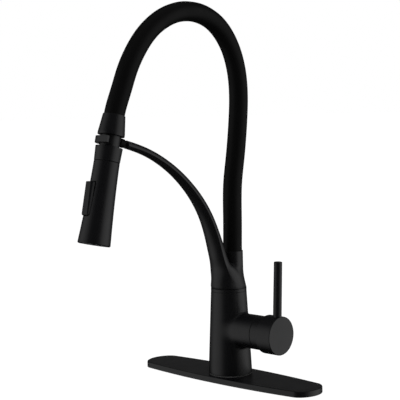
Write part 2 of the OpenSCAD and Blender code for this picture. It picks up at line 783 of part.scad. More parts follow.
module dock_screw() {
    color(STEEL) on_stem_axis() {
        translate([0, 0, clip_bore_r + 0.4]) cylinder(r = 2.6, h = 1.4);
        translate([0, 0, clip_bore_r + 0.4]) cylinder(r = 1.2, h = stem_back + 5 - clip_bore_r);
    }
}

// ---- Hose end: connector and neck ----

module hose_connector() {
    color(BLACK) on_head_axis() difference() {
        rotate_extrude() polygon([[0, connector_start], [connector_foot_r - 0.4, connector_start],
            [connector_foot_r, connector_start + 0.4], [connector_foot_r, connector_start + 2.5],
            [connector_rim_r, connector_end - 0.3], [connector_rim_r - 0.3, connector_end], [0, connector_end]]);
        translate([0, 0, sleeve_stop - gap]) cylinder(r = sleeve_r + seat, h = connector_length);
        translate([0, 0, sleeve_stop - nipple_height]) cylinder(r = nipple_r + seat, h = connector_length);
        translate([0, 0, connector_start - past]) cylinder(r = tenon_r + seat, h = past + tenon_height + washer_height);
        translate([0, 0, connector_start - past]) cylinder(r = 4, h = connector_length);
    }
}

module spray_neck() {
    deep = 1.2 * neck_seal_r;
    color(BLACK) on_head_axis() difference() {
        union() {
            translate([0, 0, collar_end + gap]) cylinder(r = neck_r, h = neck_length - gap);
            translate([0, 0, connector_start - past]) cylinder(r = tenon_r, h = tenon_height + past);
            translate([0, 0, flange_z]) cylinder(r = tenon_r, h = collar_end - flange_z + past);
            translate([0, 0, flange_z]) cylinder(r = flange_r, h = flange_height);
            translate([0, 0, neck_foot]) cylinder(r = core_bore_r - seat, h = flange_z - neck_foot + past);
        }
        translate([0, 0, neck_foot - past]) cylinder(r = 3.6, h = connector_length * 3);
        translate([0, 0, connector_start + tenon_height - valve_height - 1]) cylinder(r = valve_r + seat, h = neck_length * 3);
        tube(core_bore_r + past, core_bore_r - 2 * neck_seal_r - 2 * run, neck_seal_z - deep, neck_seal_z + deep);
    }
}

module neck_o_ring() {
    color(RUBBER) on_head_axis() o_ring(core_bore_r - run - neck_seal_r, neck_seal_r, neck_seal_z);
}

module check_valve() {
    start = connector_start + tenon_height - valve_height - 1 + seat;
    color(NYLON) on_head_axis() difference() {
        tube(valve_r, 2.6, start, start + valve_height);
        tube(valve_r + past, valve_r - 0.8, start + 4, start + 6);
    }
}

module inlet_washer() {
    start = connector_start + tenon_height + seat;
    color(RUBBER) on_head_axis() tube(tenon_r - 0.3, 4, start, start + washer_height - 2 * seat);
}

// ---- Spray head ----

function shell_r(s) = shell_top_r + (shell_face_r - shell_top_r) * pow(max(0, 1 - s / shell_length), 1.6);

module spray_collar() {
    foot_r = shell_top_r + 0.1;
    color(BLACK) turned_head() difference() {
        rotate_extrude() polygon([[0, collar_start], [foot_r - 0.25, collar_start], [foot_r, collar_start + 0.25],
            [collar_top_r, collar_end - 0.3], [collar_top_r - 0.3, collar_end], [0, collar_end]]);
        translate([0, 0, collar_start - past]) cylinder(r = tenon_r + run, h = collar_length + 2 * past);
        translate([0, 0, collar_start - past])
            cylinder(r = flange_r + gap, h = past + flange_z - collar_start + flange_height + gap);
    }
}

module spray_shell() {
    steps = 20;
    profile = [for (i = [0:steps]) let (s = shell_length * i / steps) [shell_r(s), s]];
    lining = [for (i = [steps:-1:0]) let (s = shell_length * i / steps) [shell_r(s) - shell_wall, s]];
    color(BLACK) turned_head() difference() {
        rotate_extrude() polygon(concat([[shell_face_r - 0.5, 0], [shell_face_r, 0.5]],
            [for (i = [1:steps]) profile[i]], lining));
        button_window(button_gap);
    }
}

// Space for the button in the shell's front, wider than the button by a gap all round
module button_window(spare) {
    translate([-button_width / 2 - spare, -button_face - 10, button_start - spare])
        cube([button_width + 2 * spare, button_face + 2, button_length + 2 * spare]);
}

module spray_core() {
    lug = 2.3;
    color(NYLON) turned_head() difference() {
        union() {
            rotate_extrude() polygon([[0, core_foot], [shell_face_r - shell_wall - 0.5, core_foot],
                [shell_face_r - shell_wall - 1, core_foot + 4], [core_r, 22], [core_r, shell_length],
                [flange_r + gap - run, shell_length + past], [flange_r + gap - run, core_top], [0, core_top]]);
            translate([0, 0, shell_length - 4]) cylinder(r = shell_top_r - shell_wall - seat, h = 4);
            translate([-lug, -button_axis_r, button_mid - 2.6]) cube([2 * lug, button_axis_r, 5.2]);
            translate([0, -button_axis_r, button_mid]) rotate([0, 90, 0]) cylinder(r = 2, h = 2 * lug, center = true);
        }
        translate([0, 0, 16]) cylinder(r = 4, h = shell_length);
        translate([0, 0, neck_foot - gap]) cylinder(r = core_bore_r, h = core_top - neck_foot + past);
        translate([0, 0, face_height]) cylinder(r = aerator_r + seat, h = aerator_height - face_height + seat);
        translate([0, 0, face_height]) cylinder(r = 2.5, h = 20);
        translate([0, 0, face_height]) tube(nozzle_ring_r + 2, nozzle_ring_r - 3.5, 0, 4);
        translate([0, -button_axis_r, button_mid]) rotate([0, 90, 0]) cylinder(r = 1 + run, h = 30, center = true);
        translate([0, 0, button_mid + plunger_up]) rotate([90, 0, 0]) cylinder(r = plunger_r + run, h = 3 * core_r);
    }
}

module spray_face() {
    color("#1a1a1a") turned_head() difference() {
        translate([0, 0, 0.6]) cylinder(r = shell_face_r - shell_wall - gap, h = face_height);
        cylinder(r = aerator_r + seat, h = face_height + 2);
        for (i = [0:nozzle_count - 1]) rotate([0, 0, 360 * i / nozzle_count]) translate([nozzle_ring_r, 0, -past])
            cylinder(r = nozzle_r + run, h = face_height + 3);
        for (i = [0:nozzle_count / 2 - 1]) rotate([0, 0, 720 * (i + 0.5) / nozzle_count])
            translate([nozzle_ring_r - 2.7, 0, -past]) cylinder(r = 0.6, h = face_height + 3);
    }
}

module spray_nozzles() {
    color(RUBBER) turned_head() for (i = [0:nozzle_count - 1])
        rotate([0, 0, 360 * i / nozzle_count]) translate([nozzle_ring_r, 0, 0]) difference() {
            translate([0, 0, 0.1]) cylinder(r = nozzle_r, h = face_height + 1);
            cylinder(r = 0.4, h = face_height + 3);
        }
}

module aerator() {
    color(STEEL) turned_head() difference() {
        translate([0, 0, 0.3]) cylinder(r = aerator_r, h = aerator_height - 0.3);
        cylinder(r = aerator_r - 1, h = 2.3);
        for (i = [-3:3]) for (j = [-3:3]) if (norm([i, j]) < 3.3)
            translate([1.5 * i - 0.5, 1.5 * j - 0.5, -past]) cube([1, 1, aerator_height + 2 * past]);
    }
}

module button_pin() {
    color(STEEL) turned_head() translate([0, -button_axis_r, button_mid]) rotate([0, 90, 0])
        cylinder(r = 1, h = button_width - 2.4, center = true);
}

module spray_button() {
    half = button_width / 2;
    top_half = half - 0.9;
    proud = button_face + button_rise;
    cheek = 2.7;
    lean = atan(button_rise / button_length);
    color(BLACK) turned_head() difference() {
        union() {
            translate([0, 0, button_start]) linear_extrude(button_length)
                polygon([[-half, -button_back_r], [half, -button_back_r], [half, -proud + 1.4],
                    [top_half, -proud], [-top_half, -proud], [-half, -proud + 1.4]]);
            for (side = [-1, 1]) translate([side * (cheek + 1.4), -button_axis_r, button_mid]) {
                rotate([0, 90, 0]) cylinder(r = 1.9, h = 2.6, center = true);
                translate([-1.3, button_axis_r - button_back_r - past, -1.9])
                    cube([2.6, button_back_r - button_axis_r + past, 3.8]);
            }
        }
        translate([-half - past, -button_face, button_start]) rotate([lean, 0, 0]) translate([0, -10, -5])
            cube([button_width + 2 * past, 10, button_length + 10]);
        translate([-cheek + 0.1, -button_axis_r - 2.4, button_mid - 3.2]) cube([2 * cheek - 0.2, 10, 6.4]);
        translate([0, -button_axis_r, button_mid]) rotate([0, 90, 0]) cylinder(r = 1 + run, h = 30, center = true);
    }
}

module diverter_plunger() {
    color(NYLON) turned_head() translate([0, -5, button_mid + plunger_up]) rotate([90, 0, 0])
        cylinder(r = plunger_r, h = button_back_r - gap - 5);
}

deck_plate();
plate_insert();
plate_gasket();
column_gasket();
column();
column_horn();
shank();
rubber_washer();
steel_washer();
mounting_nut();
bonnet_ring();
cartridge_nut();
cartridge_body();
cartridge_seals();
fixed_disc();
moving_disc();
cartridge_rotor();
stem_pin();
cartridge_stem();
handle_hub();
lever_rod();
handle_screw();
swivel_spigot();
spigot_o_ring();
swivel_ring();
swivel_bush();
swivel_screw();
spout();
socket_nipple();
socket_ferrule();
hose_sleeve();
water_hose();
dock_stem();
dock_clip();
dock_screw();
hose_connector();
head_nipple();
head_ferrule();
spray_neck();
neck_o_ring();
check_valve();
inlet_washer();
spray_collar();
spray_shell();
spray_core();
spray_face();
spray_nozzles();
aerator();
button_pin();
spray_button();
diverter_plunger();
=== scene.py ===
import math
from types import SimpleNamespace

import bmesh
import bpy
import numpy as np
from mathutils import Matrix, Vector


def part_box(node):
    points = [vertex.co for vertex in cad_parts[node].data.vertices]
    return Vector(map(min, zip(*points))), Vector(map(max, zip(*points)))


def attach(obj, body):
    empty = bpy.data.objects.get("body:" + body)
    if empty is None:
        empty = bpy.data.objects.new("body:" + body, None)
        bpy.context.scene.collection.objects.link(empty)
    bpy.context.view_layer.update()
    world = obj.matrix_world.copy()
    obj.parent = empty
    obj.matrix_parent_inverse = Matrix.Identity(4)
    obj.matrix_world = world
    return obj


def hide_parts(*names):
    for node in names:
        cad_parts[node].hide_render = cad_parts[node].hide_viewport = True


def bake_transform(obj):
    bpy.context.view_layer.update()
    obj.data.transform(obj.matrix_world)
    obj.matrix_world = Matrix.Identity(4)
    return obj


bl_info = {
    "name": "Single-Lever Hose-Arch Faucet",
    "version": (1, 0, 0),
    "blender": (4, 5, 0),
    "location": "3D View > Sidebar > Faucet",
    "description": "Dresses a kitchen faucet with a hose arch, a support arm and a docked spray head",
    "category": "Add Mesh",
}

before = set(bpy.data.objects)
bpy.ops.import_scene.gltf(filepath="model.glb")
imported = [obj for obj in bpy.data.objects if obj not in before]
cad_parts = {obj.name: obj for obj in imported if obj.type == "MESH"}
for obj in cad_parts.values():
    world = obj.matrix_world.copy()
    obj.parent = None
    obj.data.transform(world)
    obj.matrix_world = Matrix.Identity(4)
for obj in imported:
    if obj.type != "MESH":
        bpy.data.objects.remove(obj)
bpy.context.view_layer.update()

MM = 0.001
QUARTER = math.pi / 2
PAST = 1        # How far a cutter runs past the face that it opens, in millimetres


# ---- What a user can change ----

def top_of(node):
    """Highest point of a node."""
    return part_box(node)[1].z


def end_of(node):
    """Furthest point of a node to the right, where the lever stands."""
    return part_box(node)[1].x


def number(name, description, default, **settings):
    """A number, with its unit or range in the settings."""
    return bpy.props.FloatProperty(name=name, description=description, default=default, **settings)


def length(name, description, default):
    """A length that shows in the scene's own units."""
    return number(name, description, default, unit="LENGTH", precision=5)


def degrees(name, description, default):
    """An angle, held in radians and shown in degrees."""
    return number(name, description, math.radians(default), subtype="ANGLE")


def colour(name, description, default):
    """A colour as an sRGB hex code."""
    return bpy.props.StringProperty(name=name, description=description, default=default, maxlen=6)


class PlateAndColumnSizes(bpy.types.PropertyGroup):
    """Sizes of the deck plate, the column and its fixing."""
    plate_length: length("Plate Length", "Length of the deck plate", 2 * end_of("deck_plate"))
    plate_width: length("Plate Width", "Width of the plate at its middle", 2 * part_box("deck_plate")[1].y)
    plate_end_width: length("Plate End Width", "Width where the round ends begin", 0.0455)
    plate_end_length: length("Plate End Length", "Length of each round end", 0.0155)
    plate_top: length("Plate Top", "Height of the plate's top face", top_of("deck_plate"))
    plate_rim: length("Plate Rim", "Height of the plate's lower rim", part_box("deck_plate")[0].z)
    plate_wall: length("Plate Wall", "Thickness of the plate's shell", 0.0014)
    plate_round: length("Plate Round", "Rounding of the plate's upper edge", 0.001)
    deck_hole: length("Deck Hole", "Radius of the hole for the shank", 0.0175)
    foot_radius: length("Foot Radius", "Radius of the column's foot", -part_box("column")[0].x)
    top_radius: length("Top Radius", "Radius of the column's top", end_of("swivel_ring"))
    column_foot: length("Column Foot", "Height of the column's foot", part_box("column")[0].z)
    column_top: length("Column Top", "Height of the column's top face", top_of("column"))
    swivel_top: length("Swivel Top", "Height of the swivel ring's top", top_of("swivel_ring"))
    spigot_bore: length("Spigot Bore", "Radius of the bore for the swivel spigot", 0.0101)
    shank_radius: length("Shank Radius", "Radius over the shank's thread", 0.016)
    shank_bore: length("Shank Bore", "Radius of the shank's bore", 0.013)
    thread_pitch: length("Thread Pitch", "Pitch of the shank's thread", 0.0015)
    thread_depth: length("Thread Depth", "Depth of the shank's thread", 0.0008)


class LeverSizes(bpy.types.PropertyGroup):
    """Sizes of the side horn, the lever's hub and its rod."""
    axis: length("Axis Height", "Height of the lever hub's axis", 0.059)
    horn_radius: length("Horn Radius", "Radius of the horn and the bonnet ring", 0.0192)
    horn_end: length("Horn End", "Distance of the horn's end from the column's axis", end_of("column_horn"))
    horn_fillet: length("Horn Fillet", "Width of the blend between horn and column", 0.004)
    bonnet_end: length("Bonnet End", "Distance of the bonnet ring's end", end_of("bonnet_ring"))
    nut_radius: length("Nut Recess", "Radius of the cartridge nut's recess", 0.0162)
    nut_end: length("Nut End", "Distance of the cartridge nut's end", end_of("cartridge_nut"))
    bonnet_bore: length("Bonnet Bore", "Radius of the bonnet ring's bore", 0.0149)
    cartridge_bore: length("Cartridge Bore", "Radius of the cartridge's bore", 0.0141)
    cartridge_seat: length("Cartridge Seat", "Distance of the cartridge's seat", 0.014)
    hub_radius: length("Hub Radius", "Radius of the lever's hub", 0.0216)
    hub_wall: length("Hub Wall", "Wall of the hub's skirt", 0.0016)
    hub_rim: length("Hub Rim", "Distance of the hub's open rim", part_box("handle_hub")[0].x)
    hub_end: length("Hub End", "Distance of the hub's flat end", end_of("handle_hub"))
    hub_floor: length("Hub Floor", "Depth of solid metal behind the flat end", 0.0116)
    boss_radius: length("Boss Radius", "Radius of the hub's inner boss", 0.008)
    boss_depth: length("Boss Depth", "Height of the hub's inner boss", 0.0034)
    stem_radius: length("Stem Radius", "Radius of the cartridge's stem", 0.0035)
    stem_end: length("Stem End", "Distance of the stem's end", end_of("cartridge_stem"))
    rod_foot_radius: length("Rod Foot Radius", "Radius of the lever rod at its foot", 0.0048)
    rod_top_radius: length("Rod Top Radius", "Radius of the lever rod at its top", 0.0046)
    rod_inset: length("Rod Inset", "Distance of the rod's axis behind the hub's flat end", 0.0064)
    rod_start: length("Rod Start", "Height at which the rod starts above the hub's axis", 0.0125)
    rod_reach: length("Rod Reach", "Height of the rod's top above the hub's axis", 0.0823)
    rod_lean: degrees("Rod Lean", "Outward lean of the rod", 2.2)


class SpoutSizes(bpy.types.PropertyGroup):
    """Sizes of the support arm, its hose socket and the hose."""
    tip_half: length("Tip Half Width", "Half width of the arm at its tip", 0.005)
    root_half: length("Root Half Width", "Half width that the arm's taper starts from", 0.0124)
    flare: length("Flare", "Length over which the round narrows into the arm", 0.042)
    socket_back: length("Socket Offset", "Distance of the socket behind the column's axis", 0.008)
    socket_radius: length("Socket Radius", "Outer radius of the hose socket", 0.0118)
    socket_top: length("Socket Top", "Height of the socket's rim", 0.1475)
    socket_rise: length("Socket Rise", "Height over which the round narrows into the socket", 0.020)
    swivel_gap: length("Swivel Gap", "Gap under the turning spout", 0.0003)
    sleeve_radius: length("Sleeve Radius", "Outer radius of the silicone sleeve", 0.0108)
    sleeve_entry: length("Sleeve Entry", "Depth that the sleeve enters its two ends", 0.008)


class SpraySizes(bpy.types.PropertyGroup):
    """Sizes of the docked spray head, up its own axis from the spray face."""
    reach: length("Dock Reach", "Distance of the clip's middle in front of the column", 0.176)
    height: length("Dock Height", "Height of the clip's middle", 0.2825)
    tilt: degrees("Head Tilt", "Tilt of the head from upright", 14.4)
    turn: degrees("Head Turn", "Turn of the head about its own axis", 18)
    gap: length("Seam Gap", "Gap between two parts of the head that turn on each other", 0.0003)
    shell: length("Shell Length", "Length of the spray shell", 0.0872)
    shell_top: length("Shell Top Radius", "Radius of the shell at its top", 0.0133)
    shell_face: length("Shell Face Radius", "Radius of the shell at its face", 0.017)
    shell_wall: length("Shell Wall", "Wall of the shell", 0.0017)
    collar: length("Collar Length", "Length of the collar", 0.0133)
    seam_drop: length("Seam Drop", "Extra length of the collar's skirt over the shell", 0.0018)
    collar_top: length("Collar Top Radius", "Radius of the collar at its top", 0.0141)
    flange: length("Flange Height", "Height of the neck's flange inside the collar", 0.0044)
    neck: length("Neck Length", "Length of the neck", 0.011)
    neck_radius: length("Neck Radius", "Radius of the neck", 0.0104)
    connector: length("Connector Length", "Length of the hose connector", 0.0225)
    reveal: length("Neck Reveal", "Extra length of neck that shows under the connector", 0.001)
    connector_foot: length("Connector Foot Radius", "Radius of the connector's foot", 0.014)
    connector_rim: length("Connector Rim Radius", "Radius of the connector's rim", 0.0116)
    clip_radius: length("Clip Radius", "Outer radius of the dock clip", 0.0154)
    clip_height: length("Clip Height", "Height of the dock clip", 0.0067)
    clip_front: length("Clip Front", "Reach of the clip's front finger", 0.012)
    clip_rear: length("Clip Rear", "Reach of the clip's rear finger", 0.0012)
    clip_drop: length("Clip Drop", "Distance of the clip's middle below its stem's axis", 0.0012)
    stem_radius: length("Dock Stem Radius", "Radius of the stem behind the clip", 0.0047)
    stem_length: length("Dock Stem Length", "Length of the stem that shows", 0.0025)
    button_length: length("Button Length", "Length of the rocker button", 0.0352)
    button_width: length("Button Width", "Width of the rocker button", 0.0142)
    button_face: length("Button Face", "Distance of its face from the head's axis, at its foot", 0.0159)
    button_rise: length("Button Rise", "Height that the face gains towards its top", 0.001)
    button_back: length("Button Back", "Distance of its back from the head's axis", 0.0125)
    button_middle: length("Button Middle", "Height of its middle above the spray face", 0.0453)
    button_gap: length("Button Gap", "Gap round the rocker button in its window", 0.0006)
    button_cheek: length("Button Cheek", "Width that each long edge's chamfer takes from the face", 0.0008)


class Finishes(bpy.types.PropertyGroup):
    """Colours and gloss of the faucet's materials."""
    coat: colour("Powder Coat", "Colour of the coated metal", "08080a")
    coat_roughness: number("Coat Roughness", "Roughness of the coat", 0.36, min=0, max=1)
    sleeve: colour("Sleeve", "Colour of the silicone sleeve", "060606")
    sleeve_roughness: number("Sleeve Roughness", "Roughness of the sleeve", 0.5, min=0, max=1)
    plastic: colour("Plastic", "Colour of the moulded stem and spray face", "050505")
    rubber: colour("Rubber", "Colour of gaskets and nozzles", "131313")
    brass: colour("Brass", "Colour of the turned brass", "b8964a")
    steel: colour("Steel", "Colour of the stainless steel", "a9adb0")
    ceramic: colour("Ceramic", "Colour of the valve discs", "e8e6df")
    acetal: colour("Acetal", "Colour of the moulded inner parts", "d9dbd6")


class Studio(bpy.types.PropertyGroup):
    """Camera, lamps and background."""
    azimuth: degrees("Azimuth", "Camera's bearing, from the front towards the lever", 41.847)
    distance: length("Distance", "Camera's level distance from the column's axis", 1.330115)
    height: length("Height", "Camera's height above the deck", 0.334658)
    aim: degrees("Aim", "Turn of the view from the column's axis", 1.310)
    pitch: degrees("Pitch", "Downward pitch of the view", 5.496)
    roll: degrees("Roll", "Roll of the view", -1.348)
    lens: number("Lens", "Focal length", 106.07, unit="CAMERA")
    fill: number("Fill", "Strength of the room's own light", 0.55)
    key: number("Key", "Power of each soft lamp", 38, subtype="POWER")
    right: number("Right", "Gloss of the window on the right", 0.9)
    left: number("Left", "Gloss of the window on the left", 0.66)
    top: number("Top", "Gloss of the window overhead", 0.25)
    wall: number("Wall", "Gloss of the cloth straight behind", 0.09)
    back: number("Back", "Share of the side windows behind", 0.35)
    card: number("Card", "Gloss of the dark cloth", 0.03)


def sizes(context, *names):
    """Property groups by their short names, with lengths in millimetres and angles in radians."""
    found = []
    for name in names:
        group = getattr(context.scene, "faucet_" + name)
        units = group.bl_rna.properties
        found.append(SimpleNamespace(**{
            key: getattr(group, key) / MM if units[key].unit == "LENGTH" else getattr(group, key)
            for key in type(group).__annotations__}))
    return found


# ---- Shader nodes ----

def linear(code):
    """An sRGB hex code as a linear colour."""
    shares = [int(code[i:i + 2], 16) / 255 for i in (0, 2, 4)]
    return tuple(c / 12.92 if c <= 0.04045 else ((c + 0.055) / 1.055) ** 2.4 for c in shares) + (1.0,)


WHITE = linear("ffffff")


def empty_tree(owner):
    """Empties a material's or a world's node tree."""
    owner.use_nodes = True
    owner.node_tree.nodes.clear()
    return owner.node_tree


def add(tree, kind, inputs=None, **settings):
    """Adds a node with its settings; an input is a value or another node's output."""
    node = tree.nodes.new(kind)
    for key, value in settings.items():
        setattr(node, key, value)
    for key, value in (inputs or {}).items():
        if isinstance(value, bpy.types.NodeSocket):
            tree.links.new(value, node.inputs[key])
        else:
            node.inputs[key].default_value = value
    return node


def combine(tree, operation, a, b):
    """What one step of arithmetic makes of two values."""
    return add(tree, "ShaderNodeMath", {0: a, 1: b}, operation=operation).outputs["Value"]


def ramp(tree, value, span, low, high, kind="SMOOTHSTEP"):
    """Runs from low to high while a value crosses a span."""
    return add(tree, "ShaderNodeMapRange", {
        "Value": value, "From Min": span[0], "From Max": span[1], "To Min": low, "To Max": high},
        interpolation_type=kind).outputs["Result"]


def looked_at(tree):
    """1 for the rays that see the background: straight, in a reflection or through glass."""
    ray = add(tree, "ShaderNodeLightPath").outputs
    seen = combine(tree, "MAXIMUM", ray["Is Camera Ray"], ray["Is Glossy Ray"])
    return combine(tree, "MAXIMUM", seen, ray["Is Transmission Ray"])


# ---- Materials ----

def textured(name, code, roughness, grain, relief, patch, spread, shine):
    """A finish with a grain in relief and broad patches of slightly other gloss, sizes in millimetres.

    grain is the width of one grain, relief its height, patch the width of a patch and spread what
    a patch adds to or takes from the roughness.  shine holds more settings of the surface."""
    if name in bpy.data.materials:
        return bpy.data.materials[name]
    material = bpy.data.materials.new(name)
    tree = empty_tree(material)
    place = add(tree, "ShaderNodeTexCoord").outputs["Object"]
    grains = add(tree, "ShaderNodeTexNoise", {"Vector": place, "Scale": 1 / (grain * MM), "Detail": 2.0})
    patches = add(tree, "ShaderNodeTexNoise", {"Vector": place, "Scale": 1 / (patch * MM), "Detail": 3.0})
    gloss = ramp(tree, patches.outputs["Fac"], (0.3, 0.7), roughness - spread, roughness + spread, "LINEAR")
    bump = add(tree, "ShaderNodeBump", {
        "Height": grains.outputs["Fac"], "Strength": 1.0, "Distance": relief * MM})
    surface = add(tree, "ShaderNodeBsdfPrincipled", {
        "Base Color": linear(code), "Roughness": gloss, "Normal": bump.outputs["Normal"], **shine})
    add(tree, "ShaderNodeOutputMaterial", {"Surface": surface.outputs["BSDF"]})
    return material


def powder_coat(finish):
    """Black powder coat baked on metal: fine orange peel, broad soft highlights, no sparkle."""
    return textured("black_powder_coat", finish.coat, finish.coat_roughness, grain=0.9, relief=0.006,
                    patch=14, spread=0.02, shine={"IOR": 1.45})


def silicone_sleeve(finish):
    """Extruded black silicone: darker and duller than the coat, with a faint bloom."""
    return textured("black_silicone", finish.sleeve, finish.sleeve_roughness, grain=1.2, relief=0.008,
                    patch=20, spread=0.04, shine={"IOR": 1.41, "Specular IOR Level": 0.14})


def moulded_plastic(finish):
    """Black glass-filled nylon, spark-eroded to an even mat: the deepest black on the faucet."""
    return textured("black_moulded_nylon", finish.plastic, 0.55, grain=0.5, relief=0.008,
                    patch=8, spread=0.03, shine={"IOR": 1.5, "Specular IOR Level": 0.08})


def satin_plastic(finish):
    """The moulded button, sprayed to match the coat but a little duller."""
    return textured("black_satin_plastic", finish.coat, finish.coat_roughness + 0.03, grain=0.7,
                    relief=0.004, patch=10, spread=0.02, shine={"IOR": 1.47})


def soft_rubber(finish):
    """Moulded black rubber, quite dull."""
    return textured("black_rubber", finish.rubber, 0.75, grain=0.7, relief=0.01,
                    patch=6, spread=0.05, shine={"IOR": 1.52, "Specular IOR Level": 0.35})


def turned_brass(finish):
    """Brass as it comes off the lathe: bright, with a slightly uneven satin."""
    return textured("turned_brass", finish.brass, 0.32, grain=0.6, relief=0.004,
                    patch=9, spread=0.06, shine={"Metallic": 1.0})


def stainless_steel(finish):
    """Pressed and turned stainless steel with a satin surface."""
    return textured("stainless_steel", finish.steel, 0.28, grain=0.5, relief=0.003,
                    patch=10, spread=0.05, shine={"Metallic": 1.0})


def lapped_ceramic(finish):
    """Alumina ceramic, lapped nearly to a mirror."""
    return textured("lapped_ceramic", finish.ceramic, 0.15, grain=0.4, relief=0.001,
                    patch=7, spread=0.03, shine={"IOR": 1.76})


def moulded_acetal(finish):
    """Natural white acetal: waxy, with a little light passing into it."""
    return textured("moulded_acetal", finish.acetal, 0.4, grain=0.8, relief=0.004,
                    patch=9, spread=0.04, shine={"IOR": 1.48, "Subsurface Weight": 0.05})


def wear(part, finish):
    """Gives a part one finish all over."""
    part.data.materials.clear()
    part.data.materials.append(finish(bpy.context.scene.faucet_finishes))


# ---- Working with one piece at a time ----

def only(piece):
    """Leaves one object selected and active."""
    bpy.ops.object.select_all(action="DESELECT")
    piece.select_set(True)
    bpy.context.view_layer.objects.active = piece


def settle(piece, place=Matrix()):
    """Moves a piece to its place and leaves its object at the origin, unturned and unscaled."""
    piece.matrix_world = place @ piece.matrix_world
    only(piece)
    bpy.ops.object.transform_apply(location=True, rotation=True, scale=True)


def edit(piece, select="DESELECT"):
    """Opens a piece in edit mode with nothing or all of it selected."""
    only(piece)
    bpy.ops.object.mode_set(mode="EDIT")
    bpy.ops.mesh.select_mode(type="VERT")
    bpy.ops.mesh.select_all(action=select)


def close():
    """Closes edit mode."""
    bpy.ops.object.mode_set(mode="OBJECT")


def pick(piece, kind, test):
    """Selects the vertices, edges or faces of the open piece that pass a test."""
    bpy.ops.mesh.select_mode(type=kind)
    bpy.ops.mesh.select_all(action="DESELECT")
    shape = bmesh.from_edit_mesh(piece.data)
    parts = {"VERT": shape.verts, "EDGE": shape.edges, "FACE": shape.faces}[kind]
    found = [part for part in parts if test(part)]
    if not found:
        raise RuntimeError(f"{piece.name}: nothing was found to shape")
    for part in found:
        part.select_set(True)
    shape.select_flush(True)
    bmesh.update_edit_mesh(piece.data)


def extrude(move):
    """Extrudes the open piece's selection by a move in metres."""
    bpy.ops.mesh.extrude_region_move(TRANSFORM_OT_translate={"value": move})


def outward():
    """Turns the open piece's faces outward."""
    bpy.ops.mesh.select_all(action="SELECT")
    bpy.ops.mesh.normals_make_consistent(inside=False)


def weld():
    """Closes the open piece's seams and poles, and turns its faces outward."""
    bpy.ops.mesh.select_all(action="SELECT")
    bpy.ops.mesh.remove_doubles(threshold=0.002 * MM)
    outward()


def round_edges(offset, segments):
    """Rounds the open piece's selected edges over by an offset in millimetres."""
    bpy.ops.mesh.bevel(offset=offset * MM, segments=segments, profile=0.5, affect="EDGES")


def cut_off(piece, level, out):
    """Opens a piece, cuts off what stands past a plane in metres and fills the cut."""
    edit(piece, "SELECT")
    bpy.ops.mesh.bisect(plane_co=level, plane_no=out, use_fill=True, clear_outer=True, threshold=0.001 * MM)


def round_rim(rim, out, radius, ease):
    """Draws the open piece's selection out to a rim by a quarter round, all in millimetres."""
    rise, wide = 0.0, 1.0
    for k in (1, 2, 3):
        angle = QUARTER * k / 3
        lift, narrow = ease * math.sin(angle), 1 - ease * (1 - math.cos(angle)) / radius
        middle = (rim - out * (ease - lift)) * MM
        extrude(out * (lift - rise) * MM)
        bpy.ops.transform.resize(value=(narrow / wide,) * 3, center_override=middle)
        rise, wide = lift, narrow


def modify(piece, kind, **settings):
    """Adds a modifier with its settings and applies it."""
    only(piece)
    bpy.ops.object.modifier_add(type=kind)
    modifier = piece.modifiers[-1]
    for key, value in settings.items():
        setattr(modifier, key, value)
    bpy.ops.object.modifier_apply(modifier=modifier.name)


def soften(piece, width, segments=3, angle=40):
    """Rounds every edge sharper than an angle over by a width in millimetres."""
    modify(piece, "BEVEL", width=width * MM, segments=segments, limit_method="ANGLE",
           angle_limit=math.radians(angle), use_clamp_overlap=True)


def join(piece, other, operation="DIFFERENCE"):
    """Adds another shape to a piece or takes it out, and throws the other away."""
    modify(piece, "BOOLEAN", operation=operation, solver="EXACT", object=other)
    bpy.data.objects.remove(other)


def cut(piece, *cutters):
    """Takes each cutter's shape out of a piece."""
    for cutter in cutters:
        join(piece, cutter)


def bar(radius, start, end, place=Matrix(), sides=96):
    """A round bar along local Z, in millimetres."""
    bpy.ops.mesh.primitive_cylinder_add(vertices=sides, radius=radius * MM, depth=(end - start) * MM,
                                        location=(0, 0, (start + end) / 2 * MM))
    piece = bpy.context.object
    settle(piece, place)
    return piece


def eased(profile, steps=4):
    """Outline of (radius, height[, ease]) whose corners with an ease are rounded over by that much."""
    rounded = []
    for i, corner in enumerate(profile):
        here = Vector(corner[:2])
        if len(corner) < 3:
            rounded.append(here)
            continue
        back = Vector(profile[i - 1][:2]) - here
        ahead = Vector(profile[(i + 1) % len(profile)][:2]) - here
        ease = min(corner[2], back.length / 2, ahead.length / 2)
        start, end = here + back.normalized() * ease, here + ahead.normalized() * ease
        for k in range(steps + 1):
            t = k / steps
            rounded.append(start * (1 - t) ** 2 + here * 2 * t * (1 - t) + end * t * t)
    return rounded


def turned(profile, ring=False, steps=96):
    """A piece turned about local Z: the profile's (radius, height) run in millimetres.

    A ring's profile closes on itself, and any other starts and ends on the axis."""
    points = eased(profile)
    bpy.ops.mesh.primitive_plane_add(size=MM)
    piece = bpy.context.object
    edit(piece, "SELECT")
    bpy.ops.mesh.merge(type="CENTER")
    bpy.ops.transform.translate(value=(points[0].x * MM, 0, points[0].y * MM))
    for a, b in zip(points, points[1:] + points[:1] if ring else points[1:]):
        move = (b - a) * MM
        bpy.ops.mesh.extrude_vertices_move(TRANSFORM_OT_translate={"value": (move.x, 0, move.y)})
    bpy.ops.mesh.select_all(action="SELECT")
    bpy.ops.mesh.spin(steps=steps, angle=math.tau, center=(0, 0, 0), axis=(0, 0, 1))
    weld()
    close()
    return piece


